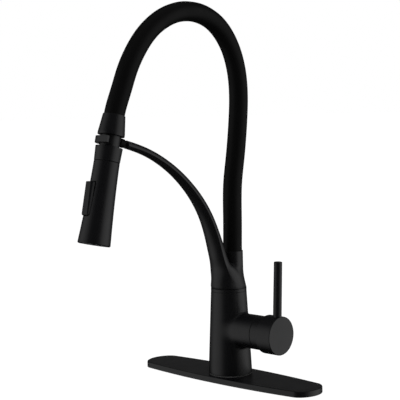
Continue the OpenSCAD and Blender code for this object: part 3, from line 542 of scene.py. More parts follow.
def finish_piece(piece, name, body, nodes, place=Matrix(), finish=powder_coat, sharp=38):
    """Sets a finished mesh in its place, smooths it and says what it stands for."""
    settle(piece, place)
    bpy.ops.object.shade_smooth_by_angle(angle=math.radians(sharp))
    modify(piece, "WEIGHTED_NORMAL", keep_sharp=True)
    piece.name = piece.data.name = name
    wear(piece, finish)
    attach(piece, body)
    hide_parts(*nodes)


# ---- Places ----

def moved(x, y, z):
    """A move in millimetres."""
    return Matrix.Translation(Vector((x, y, z)) * MM)


def handle_place(lever):
    """Local Z runs along the lever hub's axis, to the right."""
    return moved(0, 0, lever.axis) @ Matrix.Rotation(QUARTER, 4, "Y")


def head_levels(spray):
    """Distances up the docked head's axis from its spray face, in millimetres."""
    collar_start = spray.shell + spray.gap
    collar_end = collar_start + spray.collar
    connector_start = collar_end + spray.neck
    clip_end = connector_start - spray.gap
    return SimpleNamespace(
        collar_start=collar_start, flange=collar_start + spray.flange, collar_end=collar_end,
        clip_start=clip_end - spray.clip_height, clip_middle=clip_end - spray.clip_height / 2,
        clip_end=clip_end, connector_start=connector_start,
        connector_end=connector_start + spray.connector)


def head_point(spray, level):
    """Point [y, z] on the docked head's axis, in millimetres."""
    along = level - head_levels(spray).clip_middle
    return (-spray.reach + along * math.sin(spray.tilt), spray.height + along * math.cos(spray.tilt))


def head_place(spray, turn=True):
    """Local Z runs up the docked head's axis, and a turned head's button faces local -Y."""
    place = moved(0, *head_point(spray, 0)) @ Matrix.Rotation(-spray.tilt, 4, "X")
    return place @ Matrix.Rotation(-spray.turn, 4, "Z") if turn else place


def stem_end(spray):
    """Distance from the head's axis back to the dock stem's rear face, in millimetres."""
    return spray.clip_radius + 0.1 + spray.stem_length


def stem_point(spray, back):
    """Point [y, z] behind the clip on the dock stem's axis, in millimetres."""
    return (-spray.reach + back * math.cos(spray.tilt), spray.height - back * math.sin(spray.tilt))


def stem_place(spray):
    """Local Z runs from the head's axis back along the dock stem."""
    middle = moved(0, 0, head_levels(spray).clip_middle)
    return head_place(spray, turn=False) @ middle @ Matrix.Rotation(-QUARTER, 4, "X")


# ---- Stage ----

class FAUCET_OT_stage(bpy.types.Operator):
    """Sets up the camera, the soft light and the pale floor"""
    bl_idname = "faucet.stage"
    bl_label = "Stage"

    sensor = 36                     # Millimetres
    tent_radius = 6                 # Metres, like the sizes below
    floor_radius = 12
    lamp_size = 1.8
    lamp_distance = 2.2
    lamp_height = 2.4
    lamp_target = Vector((0, -0.06, 0.15))
    lamp_aside = math.radians(50)
    floor_glow = 1.1
    glow_share = 0.85               # The rest of the floor is paint, which takes the shadow

    def execute(self, context):
        studio = context.scene.faucet_studio
        self.facing = studio.azimuth + studio.aim
        self.camera(context.scene, studio)
        self.room(context.scene, studio)
        self.tent(studio)
        self.lamps(studio)
        self.floor()
        context.scene.view_settings.view_transform = "Standard"
        return {"FINISHED"}

    def camera(self, scene, studio):
        """Places the camera by its bearing and aims it, then rolls it."""
        bearing, facing, pitch, roll = studio.azimuth, self.facing, studio.pitch, studio.roll
        place = Vector((studio.distance * math.sin(bearing), -studio.distance * math.cos(bearing),
                        studio.height))
        ahead = Vector((-math.sin(facing) * math.cos(pitch), math.cos(facing) * math.cos(pitch),
                        -math.sin(pitch)))
        level = Vector((math.cos(facing), math.sin(facing), 0))
        upright = level.cross(ahead)
        right = level * math.cos(roll) + upright * math.sin(roll)
        up = upright * math.cos(roll) - level * math.sin(roll)
        bpy.ops.object.camera_add()
        camera = bpy.context.object
        camera.name = "camera"
        camera.matrix_world = Matrix.Translation(place) @ Matrix((right, up, -ahead)).transposed().to_4x4()
        camera.data.lens = studio.lens
        camera.data.sensor_width = self.sensor
        scene.camera = camera

    def room(self, scene, studio):
        """A white background, and an even light for the faucet's dull side."""
        scene.world = bpy.data.worlds.new("studio")
        tree = empty_tree(scene.world)
        strength = add(tree, "ShaderNodeMix", {"Factor": looked_at(tree), "A": studio.fill, "B": 1.0})
        white = add(tree, "ShaderNodeBackground", {"Color": WHITE, "Strength": strength.outputs["Result"]})
        add(tree, "ShaderNodeOutputWorld", {"Surface": white.outputs["Background"]})

    def tent(self, studio):
        """A dark tent that only gloss shows: a window on each side, the right one brighter, and one above.

        A span is between two shares of the full way across, behind or upward."""
        bpy.ops.mesh.primitive_uv_sphere_add(segments=64, ring_count=32, radius=self.tent_radius)
        tent = bpy.context.object
        tent.name = "light_tent"
        for ray in ("camera", "diffuse", "transmission", "volume_scatter", "shadow"):
            setattr(tent, f"visible_{ray}", False)
        cloth = bpy.data.materials.new("tent_cloth")
        cloth.cycles.emission_sampling = "NONE"
        tree = empty_tree(cloth)
        place = add(tree, "ShaderNodeTexCoord").outputs["Object"]
        toward = add(tree, "ShaderNodeVectorMath", {0: place}, operation="NORMALIZE").outputs["Vector"]
        cos, sin = math.cos(self.facing), math.sin(self.facing)
        across, behind = (
            add(tree, "ShaderNodeVectorMath", {0: toward, 1: way}, operation="DOT_PRODUCT").outputs["Value"]
            for way in ((cos, sin, 0), (-sin, cos, 0)))
        upward = add(tree, "ShaderNodeSeparateXYZ", {"Vector": toward}).outputs["Z"]
        aside = combine(tree, "ABSOLUTE", across, 0)
        window = ramp(tree, aside, (0.5, 0.95), 0, 1)
        for share in (ramp(tree, across, (-0.2, 0.2), studio.left, studio.right),
                      ramp(tree, behind, (0.1, 0.6), 1, studio.back),
                      ramp(tree, upward, (0.3, 0.9), 1, 0.3)):
            window = combine(tree, "MULTIPLY", window, share)
        top = ramp(tree, upward, (0.7, 0.95), 0, studio.top)
        wall = ramp(tree, behind, (0.88, 0.96), studio.card, studio.wall)
        gloss = combine(tree, "MAXIMUM", combine(tree, "MAXIMUM", window, top), wall)
        glow = add(tree, "ShaderNodeEmission", {"Color": WHITE, "Strength": gloss})
        add(tree, "ShaderNodeOutputMaterial", {"Surface": glow.outputs["Emission"]})
        tent.data.materials.append(cloth)

    def lamps(self, studio):
        """Two wide soft lamps, one from each side of the camera, that make the shadow on the floor."""
        for side in (-1, 1):
            bearing = studio.azimuth + side * self.lamp_aside
            spot = Vector((self.lamp_distance * math.sin(bearing), -self.lamp_distance * math.cos(bearing),
                           self.lamp_height))
            bpy.ops.object.light_add(type="AREA", location=spot)
            lamp = bpy.context.object
            lamp.name = "soft_lamp"
            lamp.data.shape = "DISK"
            lamp.data.size = self.lamp_size
            lamp.data.energy = studio.key
            lamp.rotation_euler = (self.lamp_target - spot).to_track_quat("-Z", "Y").to_euler()
            lamp.visible_glossy = False

    def floor(self):
        """A white worktop that keeps a faint shadow of the faucet."""
        bpy.ops.mesh.primitive_circle_add(vertices=64, radius=self.floor_radius, fill_type="NGON")
        floor = bpy.context.object
        floor.name = "floor"
        floor.visible_glossy = False
        material = bpy.data.materials.new("white_worktop")
        tree = empty_tree(material)
        share = combine(tree, "MULTIPLY", looked_at(tree), self.glow_share)
        paint = add(tree, "ShaderNodeBsdfDiffuse", {"Color": linear("f4f4f4")})
        glow = add(tree, "ShaderNodeEmission", {"Color": WHITE, "Strength": self.floor_glow})
        both = add(tree, "ShaderNodeMixShader", {
            0: share, 1: paint.outputs["BSDF"], 2: glow.outputs["Emission"]})
        add(tree, "ShaderNodeOutputMaterial", {"Surface": both.outputs["Shader"]})
        floor.data.materials.append(material)


# ---- Curves ----

def spline(route, steps):
    """Uniform cubic spline through a route's neighbourhood, from its first point to its last."""
    points = [Vector(p) for p in route]
    points = [2 * points[0] - points[1], *points, 2 * points[-1] - points[-2]]
    curve = []
    for p, q, r, s in zip(points, points[1:], points[2:], points[3:]):
        for k in range(steps):
            t = k / steps
            curve.append(((1 - t) ** 3 * p + (3 * t ** 3 - 6 * t * t + 4) * q
                          + (-3 * t ** 3 + 3 * t * t + 3 * t + 1) * r + t ** 3 * s) / 6)
    return curve + [points[-2]]


def smooth(share):
    """Eases a share in and out between 0 and 1."""
    share = min(1, max(0, share))
    return share * share * (3 - 2 * share)


def on_arc(middle, radius, angle, z):
    """Point at an angle round an upright axis that stands at [0, middle]."""
    return Vector((radius * math.cos(angle), middle + radius * math.sin(angle), z))


class FAUCET_OT_hose(bpy.types.Operator):
    """Makes the silicone hose that arches from the spout's socket to the spray head"""
    bl_idname = "faucet.hose"
    bl_label = "Hose"

    # The arch between its two straight ends, [y, z] in millimetres.
    arch = [(9, 178), (9, 202), (10, 226), (15, 249), (19, 273), (22, 297), (24, 320), (23, 344),
            (17, 367), (6, 387), (-11, 404), (-33, 414), (-57, 417), (-80, 414), (-102, 405),
            (-121, 392), (-137, 374), (-150, 354), (-158, 334)]
    socket_run = 7.5
    head_run = 15
    steps = 8

    def execute(self, context):
        spout, spray = sizes(context, "spout", "spray")
        stop = head_levels(spray).connector_end - spout.sleeve_entry
        route = [(spout.socket_back, spout.socket_top - spout.sleeve_entry),
                 (spout.socket_back, spout.socket_top + self.socket_run), *self.arch,
                 head_point(spray, stop + self.head_run), head_point(spray, stop)]
        path = [Vector((0, p.x, p.y)) * MM for p in spline(route, self.steps)]
        hose = self.tube(path, spout.sleeve_radius)
        only(hose)
        bpy.ops.object.shade_smooth_by_angle(angle=math.radians(50))
        hose.name = "silicone_hose"
        wear(hose, silicone_sleeve)
        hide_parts("hose_sleeve", "water_hose")
        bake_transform(hose)
        return {"FINISHED"}

    def tube(self, path, radius):
        """A closed round tube along a path."""
        run = bpy.data.curves.new("hose_run", "CURVE")
        run.dimensions = "3D"
        run.bevel_depth = radius * MM
        run.bevel_resolution = 8
        run.use_fill_caps = True
        line = run.splines.new("POLY")
        line.points.add(len(path) - 1)
        for point, place in zip(line.points, path):
            point.co = (*place, 1)
        tube = bpy.data.objects.new("hose_run", run)
        bpy.context.collection.objects.link(tube)
        only(tube)
        bpy.ops.object.convert(target="MESH")
        tube = bpy.context.object
        edit(tube)
        weld()
        close()
        return tube


# ---- Column ----

class FAUCET_OT_column(bpy.types.Operator):
    """Casts the tapered column with its side horn and bores"""
    bl_idname = "faucet.column"
    bl_label = "Column"

    voxel = 0.9
    rim = 0.4
    spare = 3
    near_skin = 2.5
    probe = 0.01
    horn_start = 4
    shank_slack = 0.05
    nut_slack = 0.1
    shank_seat = 32
    spigot_seat = 10
    nut_seat = 6

    def execute(self, context):
        base, lever = sizes(context, "base", "lever")
        self.taper = (base.foot_radius - base.top_radius) / (base.column_top - base.column_foot)
        casting = self.rough(base, lever)
        self.surface(casting, base, lever)
        self.trim(casting, (0, 0, base.column_top), (0, 0, 1), base.top_radius)
        self.trim(casting, (0, 0, base.column_foot), (0, 0, -1), base.foot_radius)
        self.trim(casting, (lever.horn_end, 0, lever.axis), (1, 0, 0), lever.horn_radius)
        foot, top, end, across = base.column_foot, base.column_top, lever.horn_end, handle_place(lever)
        cut(casting, bar(base.shank_radius + self.shank_slack, foot - PAST, foot + self.shank_seat),
            bar(base.spigot_bore, top - self.spigot_seat, top + PAST),
            bar(lever.cartridge_bore, lever.cartridge_seat, end + PAST, across),
            bar(lever.nut_radius + self.nut_slack, lever.nut_end - self.nut_seat, end + PAST, across))
        finish_piece(casting, "column_casting", "base", ["column", "column_horn"])
        return {"FINISHED"}

    def rough(self, base, lever):
        """Cone and horn joined, a little too long at each end, in even small faces."""
        foot, top = base.column_foot - self.spare, base.column_top + self.spare
        bpy.ops.mesh.primitive_cone_add(
            vertices=128, radius1=(base.foot_radius + self.taper * self.spare) * MM,
            radius2=(base.top_radius - self.taper * self.spare) * MM, depth=(top - foot) * MM,
            location=(0, 0, (foot + top) / 2 * MM))
        cone = bpy.context.object
        horn = bar(lever.horn_radius, 0, lever.horn_end + self.spare, handle_place(lever), 128)
        settle(cone)
        join(cone, horn, "UNION")
        modify(cone, "REMESH", mode="VOXEL", voxel_size=self.voxel * MM)
        return cone

    def surface(self, casting, base, lever):
        """Moves the small faces onto the true cone and horn with a soft blend between them."""
        flat = math.cos(math.atan(self.taper))
        fillet = lever.horn_fillet

        def height(p):
            """Distance of points outside the cone or the horn, whichever is nearer."""
            radius = base.foot_radius - self.taper * (p[:, 2] - base.column_foot)
            cone = (np.hypot(p[:, 0], p[:, 1]) - radius) * flat
            horn = np.hypot(p[:, 1], p[:, 2] - lever.axis) - lever.horn_radius
            horn = np.maximum(horn, self.horn_start - p[:, 0])
            near = np.maximum(fillet - np.abs(cone - horn), 0) / fillet
            return np.minimum(cone, horn) - near ** 2 * fillet / 4

        points = np.array([v.co for v in casting.data.vertices]) / MM
        close_by = np.abs(height(points)) < self.near_skin
        moving, step = points[close_by], self.probe
        for _ in range(6):
            slope = np.stack([(height(moving + step * axis) - height(moving - step * axis)) / (2 * step)
                              for axis in np.eye(3)], axis=1)
            steep = np.maximum((slope ** 2).sum(axis=1), 1e-6)
            moving -= slope * (height(moving) / steep)[:, None]
        points[close_by] = moving
        casting.data.vertices.foreach_set("co", (points * MM).ravel())
        casting.data.update()

    def trim(self, casting, rim, out, radius):
        """Cuts the casting off square and rounds the new rim over."""
        rim, out = Vector(rim), Vector(out)
        level = (rim - out * self.rim) * MM
        cut_off(casting, level, out)
        pick(casting, "FACE", lambda face: abs((face.calc_center_median() - level).dot(out)) < 0.01 * MM
             and abs(face.normal.dot(out)) > 0.999)
        round_rim(rim, out, radius, self.rim)
        close()


# ---- Spout ----

class FAUCET_OT_spout(bpy.types.Operator):
    """Casts the support arm and the hose socket in one branching skin"""
    bl_idname = "faucet.spout"
    bl_label = "Spout"

    # Counts of points along each stretch of a ring, of rings below the fork, and of the route's fine steps.
    front = 16
    rear = 6
    back = 32
    web = 9
    root_steps = 11
    fine = 12
    step = 0.32             # From one ring of the arm to the next, counted in the route's points

    # The arm's section: shares of its half width or its half depth.
    swell = 0.12
    thin = 0.22
    free_lean = 0.2
    tip_lean = 0.05
    bend_lean = 0.08
    free_bow = 0.26
    root_bow = 0.19

    # Runs along the arm and heights above its foot, in millimetres.
    free_run = 30
    bend_run = 48
    bend_reach = 26
    web_start = 4
    web_top = 38
    web_fade = 26
    crease_start = 11
    crease_fade = 14
    crease_full = 0.9

    # Where the skin starts: the valleys' share of the rear arc, and how far the first ring is lifted.
    root_valley = 0.85
    root_lift = 0.3

    # Bores: a radius and a depth from the face that each one opens.
    bush = (13.3, 5.6)
    spigot = (10.6, 13.4)
    nipple = (7.5, 15.6)
    sleeve = (10.9, 8.3)
    waterway = 4
    screw = 2.24

    def execute(self, context):
        self.base, self.spout, self.spray = sizes(context, "base", "spout", "spray")
        self.foot = self.base.swivel_top + self.spout.swivel_gap
        self.stem = stem_end(self.spray)
        self.route()
        casting = self.skin()
        modify(casting, "SUBSURF", levels=2, render_levels=2)
        self.close_ends(casting)
        self.bore(casting)
        finish_piece(casting, "spout_casting", "spout", ["spout"], sharp=25)
        return {"FINISHED"}

    def bore(self, casting):
        """Opens the foot for the swivel, the socket for the hose and the tip for the clip's screw."""
        foot, top = self.foot, self.spout.socket_top
        socket = moved(0, self.spout.socket_back, 0)
        cut(casting, bar(self.bush[0], foot - PAST, foot + self.bush[1]),
            bar(self.spigot[0], foot, foot + self.spigot[1]),
            bar(self.waterway, foot + self.spigot[1] - PAST, top, socket),
            bar(self.nipple[0], top - self.nipple[1], top + PAST, socket),
            bar(self.sleeve[0], top - self.sleeve[1], top + PAST, socket),
            bar(self.screw, self.stem - 3, self.stem + 8, stem_place(self.spray)))

    def route(self):
        """Lays the arm's middle line, [y, z], and measures it."""
        z = self.foot
        self.points = [(0, z), (-7, z + 6), (-12, z + 15), (-13.5, z + 25), (-17, z + 36), (-21, 156),
                       (-27, 171.5), (-35, 190), (-48, 209.5), (-64.5, 227.5), (-84.5, 244.5),
                       (-107.5, 259), (-131, 270), stem_point(self.spray, self.stem),
                       stem_point(self.spray, self.stem - 3)]
        self.curve = spline(self.points, self.fine)
        self.run = [0.0]
        for a, b in zip(self.curve, self.curve[1:]):
            self.run.append(self.run[-1] + (b - a).length)

    def station(self, t):
        """Middle point, heading and distance along the arm at t, counted in the route's points."""
        place = min(max(t * self.fine, 0), len(self.curve) - 1)
        i = min(int(place), len(self.curve) - 2)
        share = place - i
        point = self.curve[i].lerp(self.curve[i + 1], share)
        run = self.run[i] + (self.run[i + 1] - self.run[i]) * share
        before, after = self.curve[max(i - 3, 0)], self.curve[min(i + 4, len(self.curve) - 1)]
        heading = (after - before).normalized()
        level = min(1, run / self.spout.flare) ** 1.5
        return point, Vector((heading.x * level, heading.y)).normalized(), run

    def skin_point(self, t, face, share):
        """Point on the arm's front (-1) or rear (1) arc, share -1 to 1 from one side edge to the other."""
        spout = self.spout
        point, heading, run = self.station(t)
        shaped = min(1, run / (1.4 * spout.flare))
        along = run / self.run[-1]
        wide = spout.tip_half + (spout.root_half - spout.tip_half) * (1 - along) ** 1.5
        wide *= 1 + self.swell * shaped
        wide += (self.base.top_radius - spout.root_half) * max(0, 1 - run / spout.flare) ** 1.6
        depth = wide * (1 - self.thin * shaped)
        free = smooth(run / self.free_run)
        bend = max(0, 1 - ((run - self.bend_run) / self.bend_reach) ** 2) ** 2
        bow = self.free_bow * free * (1 - along ** 3)
        bow += self.root_bow * math.sin(math.pi * min(1, 0.9 * run / spout.flare)) ** 2
        lean = self.free_lean * free + self.tip_lean * along ** 3 + self.bend_lean * bend
        deep = depth * (1 + lean if face > 0 else 1 - lean - bow)
        reach = 2 * math.atan(deep / wide)
        angle = reach * share
        out = face * deep * (math.cos(angle) - math.cos(reach)) / (1 - math.cos(reach)) - lean * depth
        return Vector((wide * math.sin(angle) / math.sin(reach), point.x + out * heading.y,
                       point.y - out * heading.x))

    def socket(self, z):
        """Middle and radius of the hose socket at a height."""
        spout = self.spout
        share = max(0, 1 - (z - self.foot) / spout.socket_rise) ** 1.7
        radius = spout.socket_radius + (self.base.top_radius - spout.socket_radius) * share
        return spout.socket_back * (1 - share), radius

    def outside(self, t, share):
        """Distance of a point on the arm's rear arc outside the socket."""
        p = self.skin_point(t, 1, share)
        middle, radius = self.socket(p.z)
        return math.hypot(p.x, p.y - middle) - radius

    def solve(self, value, low, high):
        """Where a rising function passes zero."""
        for _ in range(40):
            middle = (low + high) / 2
            if value(middle) < 0:
                low = middle
            else:
                high = middle
        return (low + high) / 2

    def arm_ring(self, t, valley):
        """The arm's points from the left valley round its front to the right valley."""
        rear = [valley + (1 - valley) * k / self.rear for k in range(self.rear)]
        front = [-1 + 2 * k / self.front for k in range(self.front + 1)]
        return ([self.skin_point(t, 1, -u) for u in rear] + [self.skin_point(t, -1, u) for u in front]
                + [self.skin_point(t, 1, u) for u in reversed(rear)])

    def socket_ring(self, z, right):
        """The socket's points from the right valley round its rear to the left one."""
        middle, radius = self.socket(z)
        start = math.atan2(right.y - middle, right.x)
        sweep = math.pi - 2 * start
        return [on_arc(middle, radius, start + sweep * k / self.back, z) for k in range(self.back + 1)]

    def fair(self, ring, arc):
        """Fills the two valleys between the arm's side edges and the socket, less and less further up."""
        edge = self.rear + self.front
        rise = ring[edge].z - self.foot
        share = smooth(min(1, max(0, rise / self.web_start))
                       * min(1, max(0, (self.web_top - rise) / self.web_fade)))
        chain = ring[edge:] + arc[1:self.web + 1]
        middle, radius = self.socket(arc[0].z)
        first, last = chain[0], chain[-1]
        start = math.atan2(first.y - middle, first.x)
        turn = math.atan2(last.y - middle, last.x) - start
        reach = math.hypot(first.x, first.y - middle)
        for k, point in enumerate(chain):
            part = k / (len(chain) - 1)
            full = on_arc(middle, radius + (reach - radius) * (1 - part) ** 2, start + turn * part,
                          first.z + (last.z - first.z) * part)
            point = point.lerp(full, share)
            mirrored = Vector((-point.x, point.y, point.z))
            if k <= self.rear:
                ring[edge + k], ring[self.rear - k] = point, mirrored
            if k >= self.rear:
                arc[k - self.rear], arc[self.back - k + self.rear] = point, mirrored

    def skin(self):
        """One skin that starts round at the swivel and parts into the arm and the socket."""
        self.shape = bmesh.new()
        fork = self.solve(lambda t: self.outside(t, 0), 1.5, 5)
        arm, rear = self.below_fork(fork)
        tip = len(self.points) - 2
        rises = round((tip - fork) / self.step)
        for i in range(1, rises + 1):
            arm.append(self.closed_ring(self.arm_ring(fork + (tip - fork) * i / rises, 0.0)))
        low, high = rear[-1][0].co.z / MM, self.spout.socket_top - 0.4
        for z in (low + (high - low) * k / 3 for k in (1, 2, 3)):
            middle, radius = self.socket(z)
            rear.append(self.closed_ring(self.socket_ring(z, Vector((0, middle - radius, z)))))
        for rings in (arm, rear):
            for below, above in zip(rings, rings[1:]):
                for a, b, c, d in zip(below, below[1:], above[1:], above):
                    self.shape.faces.new((a, b, c, d))
        self.crease(arm)
        bmesh.ops.recalc_face_normals(self.shape, faces=self.shape.faces)
        mesh = bpy.data.meshes.new("spout_skin")
        self.shape.to_mesh(mesh)
        self.shape.free()
        casting = bpy.data.objects.new("spout_skin", mesh)
        bpy.context.collection.objects.link(casting)
        return casting

    def verts(self, points):
        """New corners of the skin at points in millimetres."""
        return [self.shape.verts.new(p * MM) for p in points]

    def closed_ring(self, points):
        """Corners of a ring whose last point is its first."""
        verts = self.verts(points[:-1])
        return verts + verts[:1]

    def below_fork(self, fork):
        """Rings of the arm and the socket while they share their two valleys."""
        arm, rear = [], []
        for i in range(self.root_steps + 1):
            t = fork * i / self.root_steps
            valley = 0.0 if i else self.root_valley
            if 0 < i < self.root_steps:
                valley = self.solve(lambda u, at=t: self.outside(at, u), 0, 1)
            ring = self.arm_ring(t, valley)
            if i == 0:
                ring = [p + Vector((0, 0, self.root_lift)) for p in ring]
            arc = self.socket_ring(ring[-1].z, ring[-1])
            if 0 < i < self.root_steps:
                self.fair(ring, arc)
            verts = self.verts(ring) if i < self.root_steps else self.closed_ring(ring)
            arm.append(verts)
            rear.append([verts[-1]] + self.verts(arc[1:-1]) + [verts[0]])
        return arm, rear

    def crease(self, arm):
        """Sharpens the arm's two side edges from a little above its root."""
        layer = self.shape.edges.layers.float.new("crease_edge")
        for below, above in zip(arm, arm[1:]):
            for column in (self.rear, self.rear + self.front):
                rise = below[column].co.z / MM - self.foot
                share = min(1, max(0, (rise - self.crease_start) / self.crease_fade))
                self.shape.edges.get((below[column], above[column]))[layer] = share * self.crease_full

    def close_ends(self, casting):
        """Rounds the rims over and closes the three ends."""
        spout = self.spout
        tip = Vector((0, *stem_point(self.spray, self.stem)))
        along = Vector((0, -math.cos(self.spray.tilt), math.sin(self.spray.tilt)))
        socket = Vector((0, spout.socket_back, spout.socket_top))
        ends = [(Vector((0, 0, self.foot)), Vector((0, 0, -1)), self.base.top_radius, 0.3),
                (socket, Vector((0, 0, 1)), spout.socket_radius, 0.4), (tip, along, spout.tip_half, 0.5)]
        for middle, out, radius, ease in ends:
            edit(casting)
            pick(casting, "EDGE", lambda e: e.is_boundary and max(
                (v.co / MM - middle).length for v in e.verts) < radius + 6)
            round_rim(middle, out, radius, ease)
            bpy.ops.mesh.edge_face_add()
            close()
        edit(casting)
        outward()
        close()


# ---- Rings ----

class FAUCET_OT_trim_rings(bpy.types.Operator):
    """Turns the swivel ring under the spout and the bonnet ring past the horn"""
    bl_idname = "faucet.trim_rings"
    bl_label = "Trim Rings"

    def execute(self, context):
        base, lever = sizes(context, "base", "lever")
        bore, radius, low, high = base.spigot_bore, base.top_radius, base.column_top, base.swivel_top
        swivel = turned([(bore, low), (radius, low, 0.3), (radius, high, 0.3), (bore, high)],
                        ring=True, steps=128)
        finish_piece(swivel, "swivel_trim", "base", ["swivel_ring"])
        bore, recess, radius = lever.bonnet_bore, lever.nut_radius, lever.horn_radius
        start, shoulder, end = lever.nut_end + 0.3, lever.horn_end + 0.3, lever.bonnet_end
        bonnet = turned([(bore, start), (recess, start), (recess, shoulder), (radius, shoulder, 0.35),
                         (radius, end, 0.35), (bore, end, 0.3)], ring=True, steps=128)
        finish_piece(bonnet, "bonnet_sleeve", "base", ["bonnet_ring"], handle_place(lever))
        return {"FINISHED"}


# ---- Lever ----

class FAUCET_OT_lever(bpy.types.Operator):
    """Turns the lever's hub and rod"""
    bl_idname = "faucet.lever"
    bl_label = "Lever"

    stem_slack = 0.05
    rod_slack = 0.12

    def execute(self, context):
        [lever] = sizes(context, "lever")
        upright = (moved(lever.hub_end - lever.rod_inset, 0, lever.axis)
                   @ Matrix.Rotation(lever.rod_lean, 4, "Y"))
        finish_piece(self.hub(lever, upright), "lever_hub", "handle", ["handle_hub"], sharp=30)
        finish_piece(self.rod(lever), "lever_bar", "handle", ["lever_rod"], upright)
        return {"FINISHED"}

    def hub(self, lever, rod_place):
        """A drum with a skirt, an inner boss and holes for the stem and the rod."""
        radius, rim, end, boss = lever.hub_radius, lever.hub_rim, lever.hub_end, lever.boss_radius
        skirt, floor = radius - lever.hub_wall, end - lever.hub_floor
        foot, stem = floor - lever.boss_depth, lever.stem_radius + self.stem_slack
        outer = [(radius, end + (rim - end) * k / 5) for k in (1, 2, 3, 4)]
        hub = turned([(0, end), (skirt - 3, end), (radius, end, 0.8), *outer, (radius, rim, 0.35),
                      (skirt, rim, 0.35), (skirt, floor, 0.6), (boss, floor, 0.4), (boss, foot, 0.4),
                      (stem, foot, 0.3), (stem, lever.stem_end), (0, lever.stem_end)], steps=144)
        settle(hub, handle_place(lever))
        cut(hub, bar(lever.rod_foot_radius + self.rod_slack, lever.rod_start - 0.2, radius + 4, rod_place))
        return hub

    def rod(self, lever):
        """A slim bar that tapers a little towards its rounded top."""
        low, top = lever.hub_radius, lever.rod_reach / math.cos(lever.rod_lean)
        foot_radius, top_radius = lever.rod_foot_radius, lever.rod_top_radius
        return turned([(0, lever.rod_start), (foot_radius, lever.rod_start), (foot_radius, low + 0.1),
                       ((foot_radius + top_radius) / 2, (low + top) / 2), (top_radius, top, 0.6), (0, top)],
                      steps=72)


# ---- Deck plate ----

class FAUCET_OT_deck_plate(bpy.types.Operator):
    """Presses the deck plate, with its bowed sides and blunt round ends"""
    bl_idname = "faucet.deck_plate"
    bl_label = "Deck Plate"

    steps = 24              # Along half a side, and along a quarter of the ends' round

    def execute(self, context):
        [base] = sizes(context, "base")
        outline = self.outline(base)
        bpy.ops.mesh.primitive_circle_add(vertices=len(outline), radius=base.plate_width * MM,
                                          fill_type="NGON", location=(0, 0, base.plate_rim * MM))
        plate = bpy.context.object
        for vertex, place in zip(plate.data.vertices, outline):
            vertex.co = Vector((*place, 0)) * MM
        rise = (base.plate_top - base.plate_rim) * MM
        edit(plate)
        outward()
        extrude((0, 0, rise))
        outward()
        pick(plate, "EDGE", lambda edge: all(v.co.z > rise * 0.99 for v in edge.verts))
        round_edges(base.plate_round, 5)
        pick(plate, "FACE", lambda face: face.normal.z < -0.99 and len(face.verts) > 8)
        bpy.ops.mesh.inset(thickness=base.plate_wall * MM, use_even_offset=True)
        extrude((0, 0, rise - base.plate_wall * MM))
        close()
        settle(plate)
        cut(plate, bar(base.deck_hole, -PAST, base.plate_top + PAST))
        finish_piece(plate, "escutcheon", "base", ["deck_plate"])
        return {"FINISHED"}

    def outline(self, base):
        """The plate's edge: a parabola along each side, and a rounded end that starts from it."""
        tip, flat = base.plate_length / 2, base.plate_length / 2 - base.plate_end_length
        drop = (base.plate_width - base.plate_end_width) / 2

        def half(x):
            """Half the plate's width along its bowed sides."""
            return base.plate_width / 2 - drop * (x / flat) ** 2

        quarter = [(flat * k / self.steps, half(flat * k / self.steps)) for k in range(self.steps)]
        for k in range(self.steps):
            angle = QUARTER * k / self.steps
            x = flat + base.plate_end_length * math.sin(angle)
            quarter.append((x, half(x) * math.cos(angle)))
        right = quarter + [(tip, 0)] + [(x, -y) for x, y in reversed(quarter)]
        left = [(-x, -y) for x, y in quarter[1:]] + [(-tip, 0)]
        return right + left + [(-x, y) for x, y in reversed(quarter[1:])]


# ---- Dock ----

class FAUCET_OT_dock(bpy.types.Operator):
    """Makes the round stem and the open clip that hold the spray head"""
    bl_idname = "faucet.dock"
    bl_label = "Dock"

    screw = 1.3
    pin = 2.2
    pin_length = 7
    slack = 0.8             # Between the neck and the clip
    clear = 1.1             # Between the neck and the stem's front face
    tip_round = 2.2
    edge_round = 0.45

    def execute(self, context):
        [spray] = sizes(context, "spray")
        start, end, radius = spray.neck_radius + self.clear, stem_end(spray), spray.stem_radius
        tail = end + self.pin_length
        stem = turned([(self.screw, start), (radius, start, 0.3), (radius, end, 0.3), (self.pin, end),
                       (self.pin, tail, 0.3), (self.screw, tail)], ring=True, steps=64)
        finish_piece(stem, "dock_peg", "spout", ["dock_stem"], stem_place(spray), moulded_plastic)
        finish_piece(self.clip(spray), "dock_fork", "spout", ["dock_clip"], head_place(spray, turn=False))
        return {"FINISHED"}

    def clip(self, spray):
        """A flat bar, straight along the front finger and then bent round the neck to the rear one."""
        level = head_levels(spray)
        low, high = level.clip_start - spray.clip_drop, level.clip_end - spray.clip_drop
        inner, outer = spray.neck_radius + self.slack, spray.clip_radius
        bpy.ops.mesh.primitive_plane_add(size=1)
        clip = bpy.context.object
        corners = [(-outer, low), (-inner, low), (-outer, high), (-inner, high)]
        for vertex, place in zip(clip.data.vertices, corners):
            vertex.co = Vector((spray.clip_front, *place)) * MM
        edit(clip, "SELECT")
        extrude((-spray.clip_front * MM, 0, 0))
        sweep = math.pi + math.asin(spray.clip_rear / ((inner + outer) / 2))
        bpy.ops.mesh.spin(steps=48, angle=sweep, center=(0, 0, 0), axis=(0, 0, 1))
        weld()

        def from_inside(place):
            """Distance of a point from the clip's inner face."""
            reach = math.hypot(place.x, place.y) if place.y > 0 else -place.y
            return abs(reach / MM - inner)

        pick(clip, "EDGE", lambda edge: abs((edge.verts[0].co - edge.verts[1].co).z) > 1 * MM
             and edge.calc_face_angle(0) > 1 and all(from_inside(v.co) < 0.2 for v in edge.verts))
        round_edges(self.tip_round, 8)
        close()
        soften(clip, self.edge_round)
        return clip


# ---- Hose end ----

